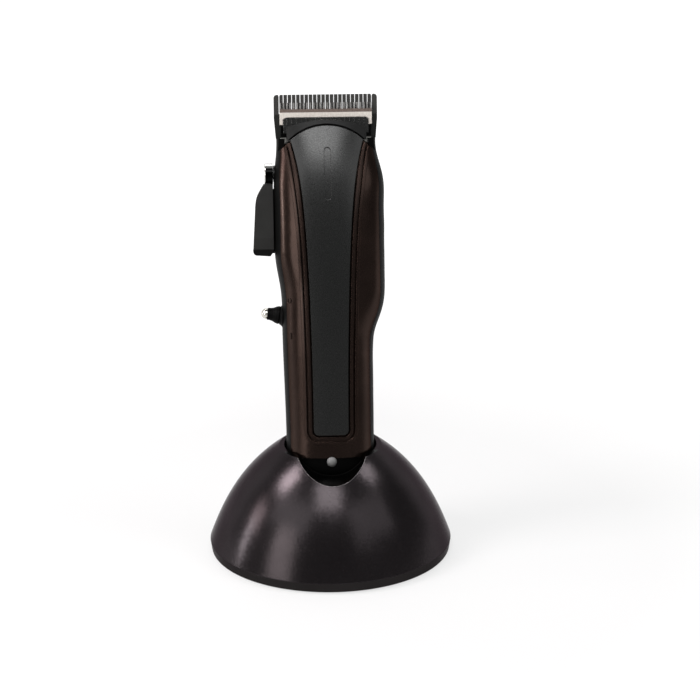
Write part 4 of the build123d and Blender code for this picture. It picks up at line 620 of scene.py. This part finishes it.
def make_floor():
    """A white table top. Its white is in its material, and it keeps the object's shadow."""
    mesh = bpy.data.meshes.new("floor")
    corners = []
    for i in range(FLOOR_SIDES):
        angle = 2 * math.pi * i / FLOOR_SIDES
        corners.append((FLOOR_RADIUS * math.cos(angle), FLOOR_RADIUS * math.sin(angle), 0.0))
    mesh.from_pydata(corners, [], [tuple(range(FLOOR_SIDES))])
    floor = bpy.data.objects.new("floor", mesh)
    bpy.context.scene.collection.objects.link(floor)
    material = bpy.data.materials.new("floor_white")
    material.use_nodes = True
    nodes, links = material.node_tree.nodes, material.node_tree.links
    nodes.clear()
    output = nodes.new("ShaderNodeOutputMaterial")
    diffuse = add_node(nodes, "ShaderNodeBsdfDiffuse", Color=(FLOOR_TONE, FLOOR_TONE, FLOOR_TONE, 1.0))
    glow = nodes.new("ShaderNodeEmission")
    coordinates = nodes.new("ShaderNodeTexCoord")
    far = nodes.new("ShaderNodeVectorMath")
    far.operation = "LENGTH"
    links.new(coordinates.outputs["Object"], far.inputs[0])
    grow = fade_node(nodes, links, far.outputs["Value"], FLOOR_GLOW_REACH, FLOOR_GLOW, 1.0)
    camera, mirrored = mirrored_rays(nodes, links)
    point = nodes.new("ShaderNodeSeparateXYZ")
    links.new(coordinates.outputs["Object"], point.inputs[0])
    front = fade_node(nodes, links, point.outputs["Y"], FLOOR_FADE, FRONT_SHARE, 1.0)
    near = math_node(nodes, links, "MULTIPLY", mirrored, front)
    seen = math_node(nodes, links, "MAXIMUM", camera, near)
    links.new(math_node(nodes, links, "MULTIPLY", seen, grow), glow.inputs["Strength"])
    add = nodes.new("ShaderNodeAddShader")
    links.new(diffuse.outputs[0], add.inputs[0])
    links.new(glow.outputs[0], add.inputs[1])
    links.new(add.outputs[0], output.inputs["Surface"])
    mesh.materials.append(material)


# What the lamps aim at.
MIDDLE = Vector((0.0, 0.0, 0.11))


def area_light(name, azimuth, elevation, distance, size, power, colour=(1.0, 1.0, 1.0)):
    """A soft lamp at a direction from the object: azimuth 0 is the front, and grows to the right."""
    data = bpy.data.lights.new(name, "AREA")
    data.shape = "RECTANGLE"
    data.size, data.size_y = size
    data.energy = power
    data.color = colour
    light = bpy.data.objects.new(name, data)
    bpy.context.scene.collection.objects.link(light)
    turn, rise = math.radians(azimuth), math.radians(elevation)
    away = Vector((math.sin(turn) * math.cos(rise), -math.cos(turn) * math.cos(rise), math.sin(rise)))
    light.location = MIDDLE + away * distance
    light.rotation_euler = (-away).to_track_quat("-Z", "Y").to_euler()
    light.visible_camera = False


def make_lights():
    area_light("key_left", -83, 47, 1.1, (0.30, 0.36), 5.6, (1.0, 0.94, 0.95))
    area_light("strip_left", -90, 5, 1.1, (0.08, 0.30), 1.2)
    area_light("patch_left", -89, 17, 1.1, (0.30, 0.22), 1.1, (1.0, 0.87, 0.87))
    area_light("wide_left", -47, 11, 1.15, (0.42, 0.50), 2.5, (1.0, 0.96, 0.94))
    area_light("soft_left", -50, 33, 1.15, (0.90, 0.40), 1.7)
    area_light("overhead", -5, 51, 1.0, (0.46, 0.38), 3.1)
    area_light("soft_right", 45, 30, 1.15, (0.90, 0.50), 1.4)
    area_light("fill_right", 84, 52, 1.2, (0.35, 0.35), 2.4)
    area_light("back_top", 180, 55, 1.1, (0.9, 0.4), 3.0)


make_camera()
make_world()
make_floor()
make_lights()
looks = make_looks()
dress_nodes(looks)
make_lever_rail(looks["housing_black"].material)

bpy.context.scene.view_settings.view_transform = "Standard"
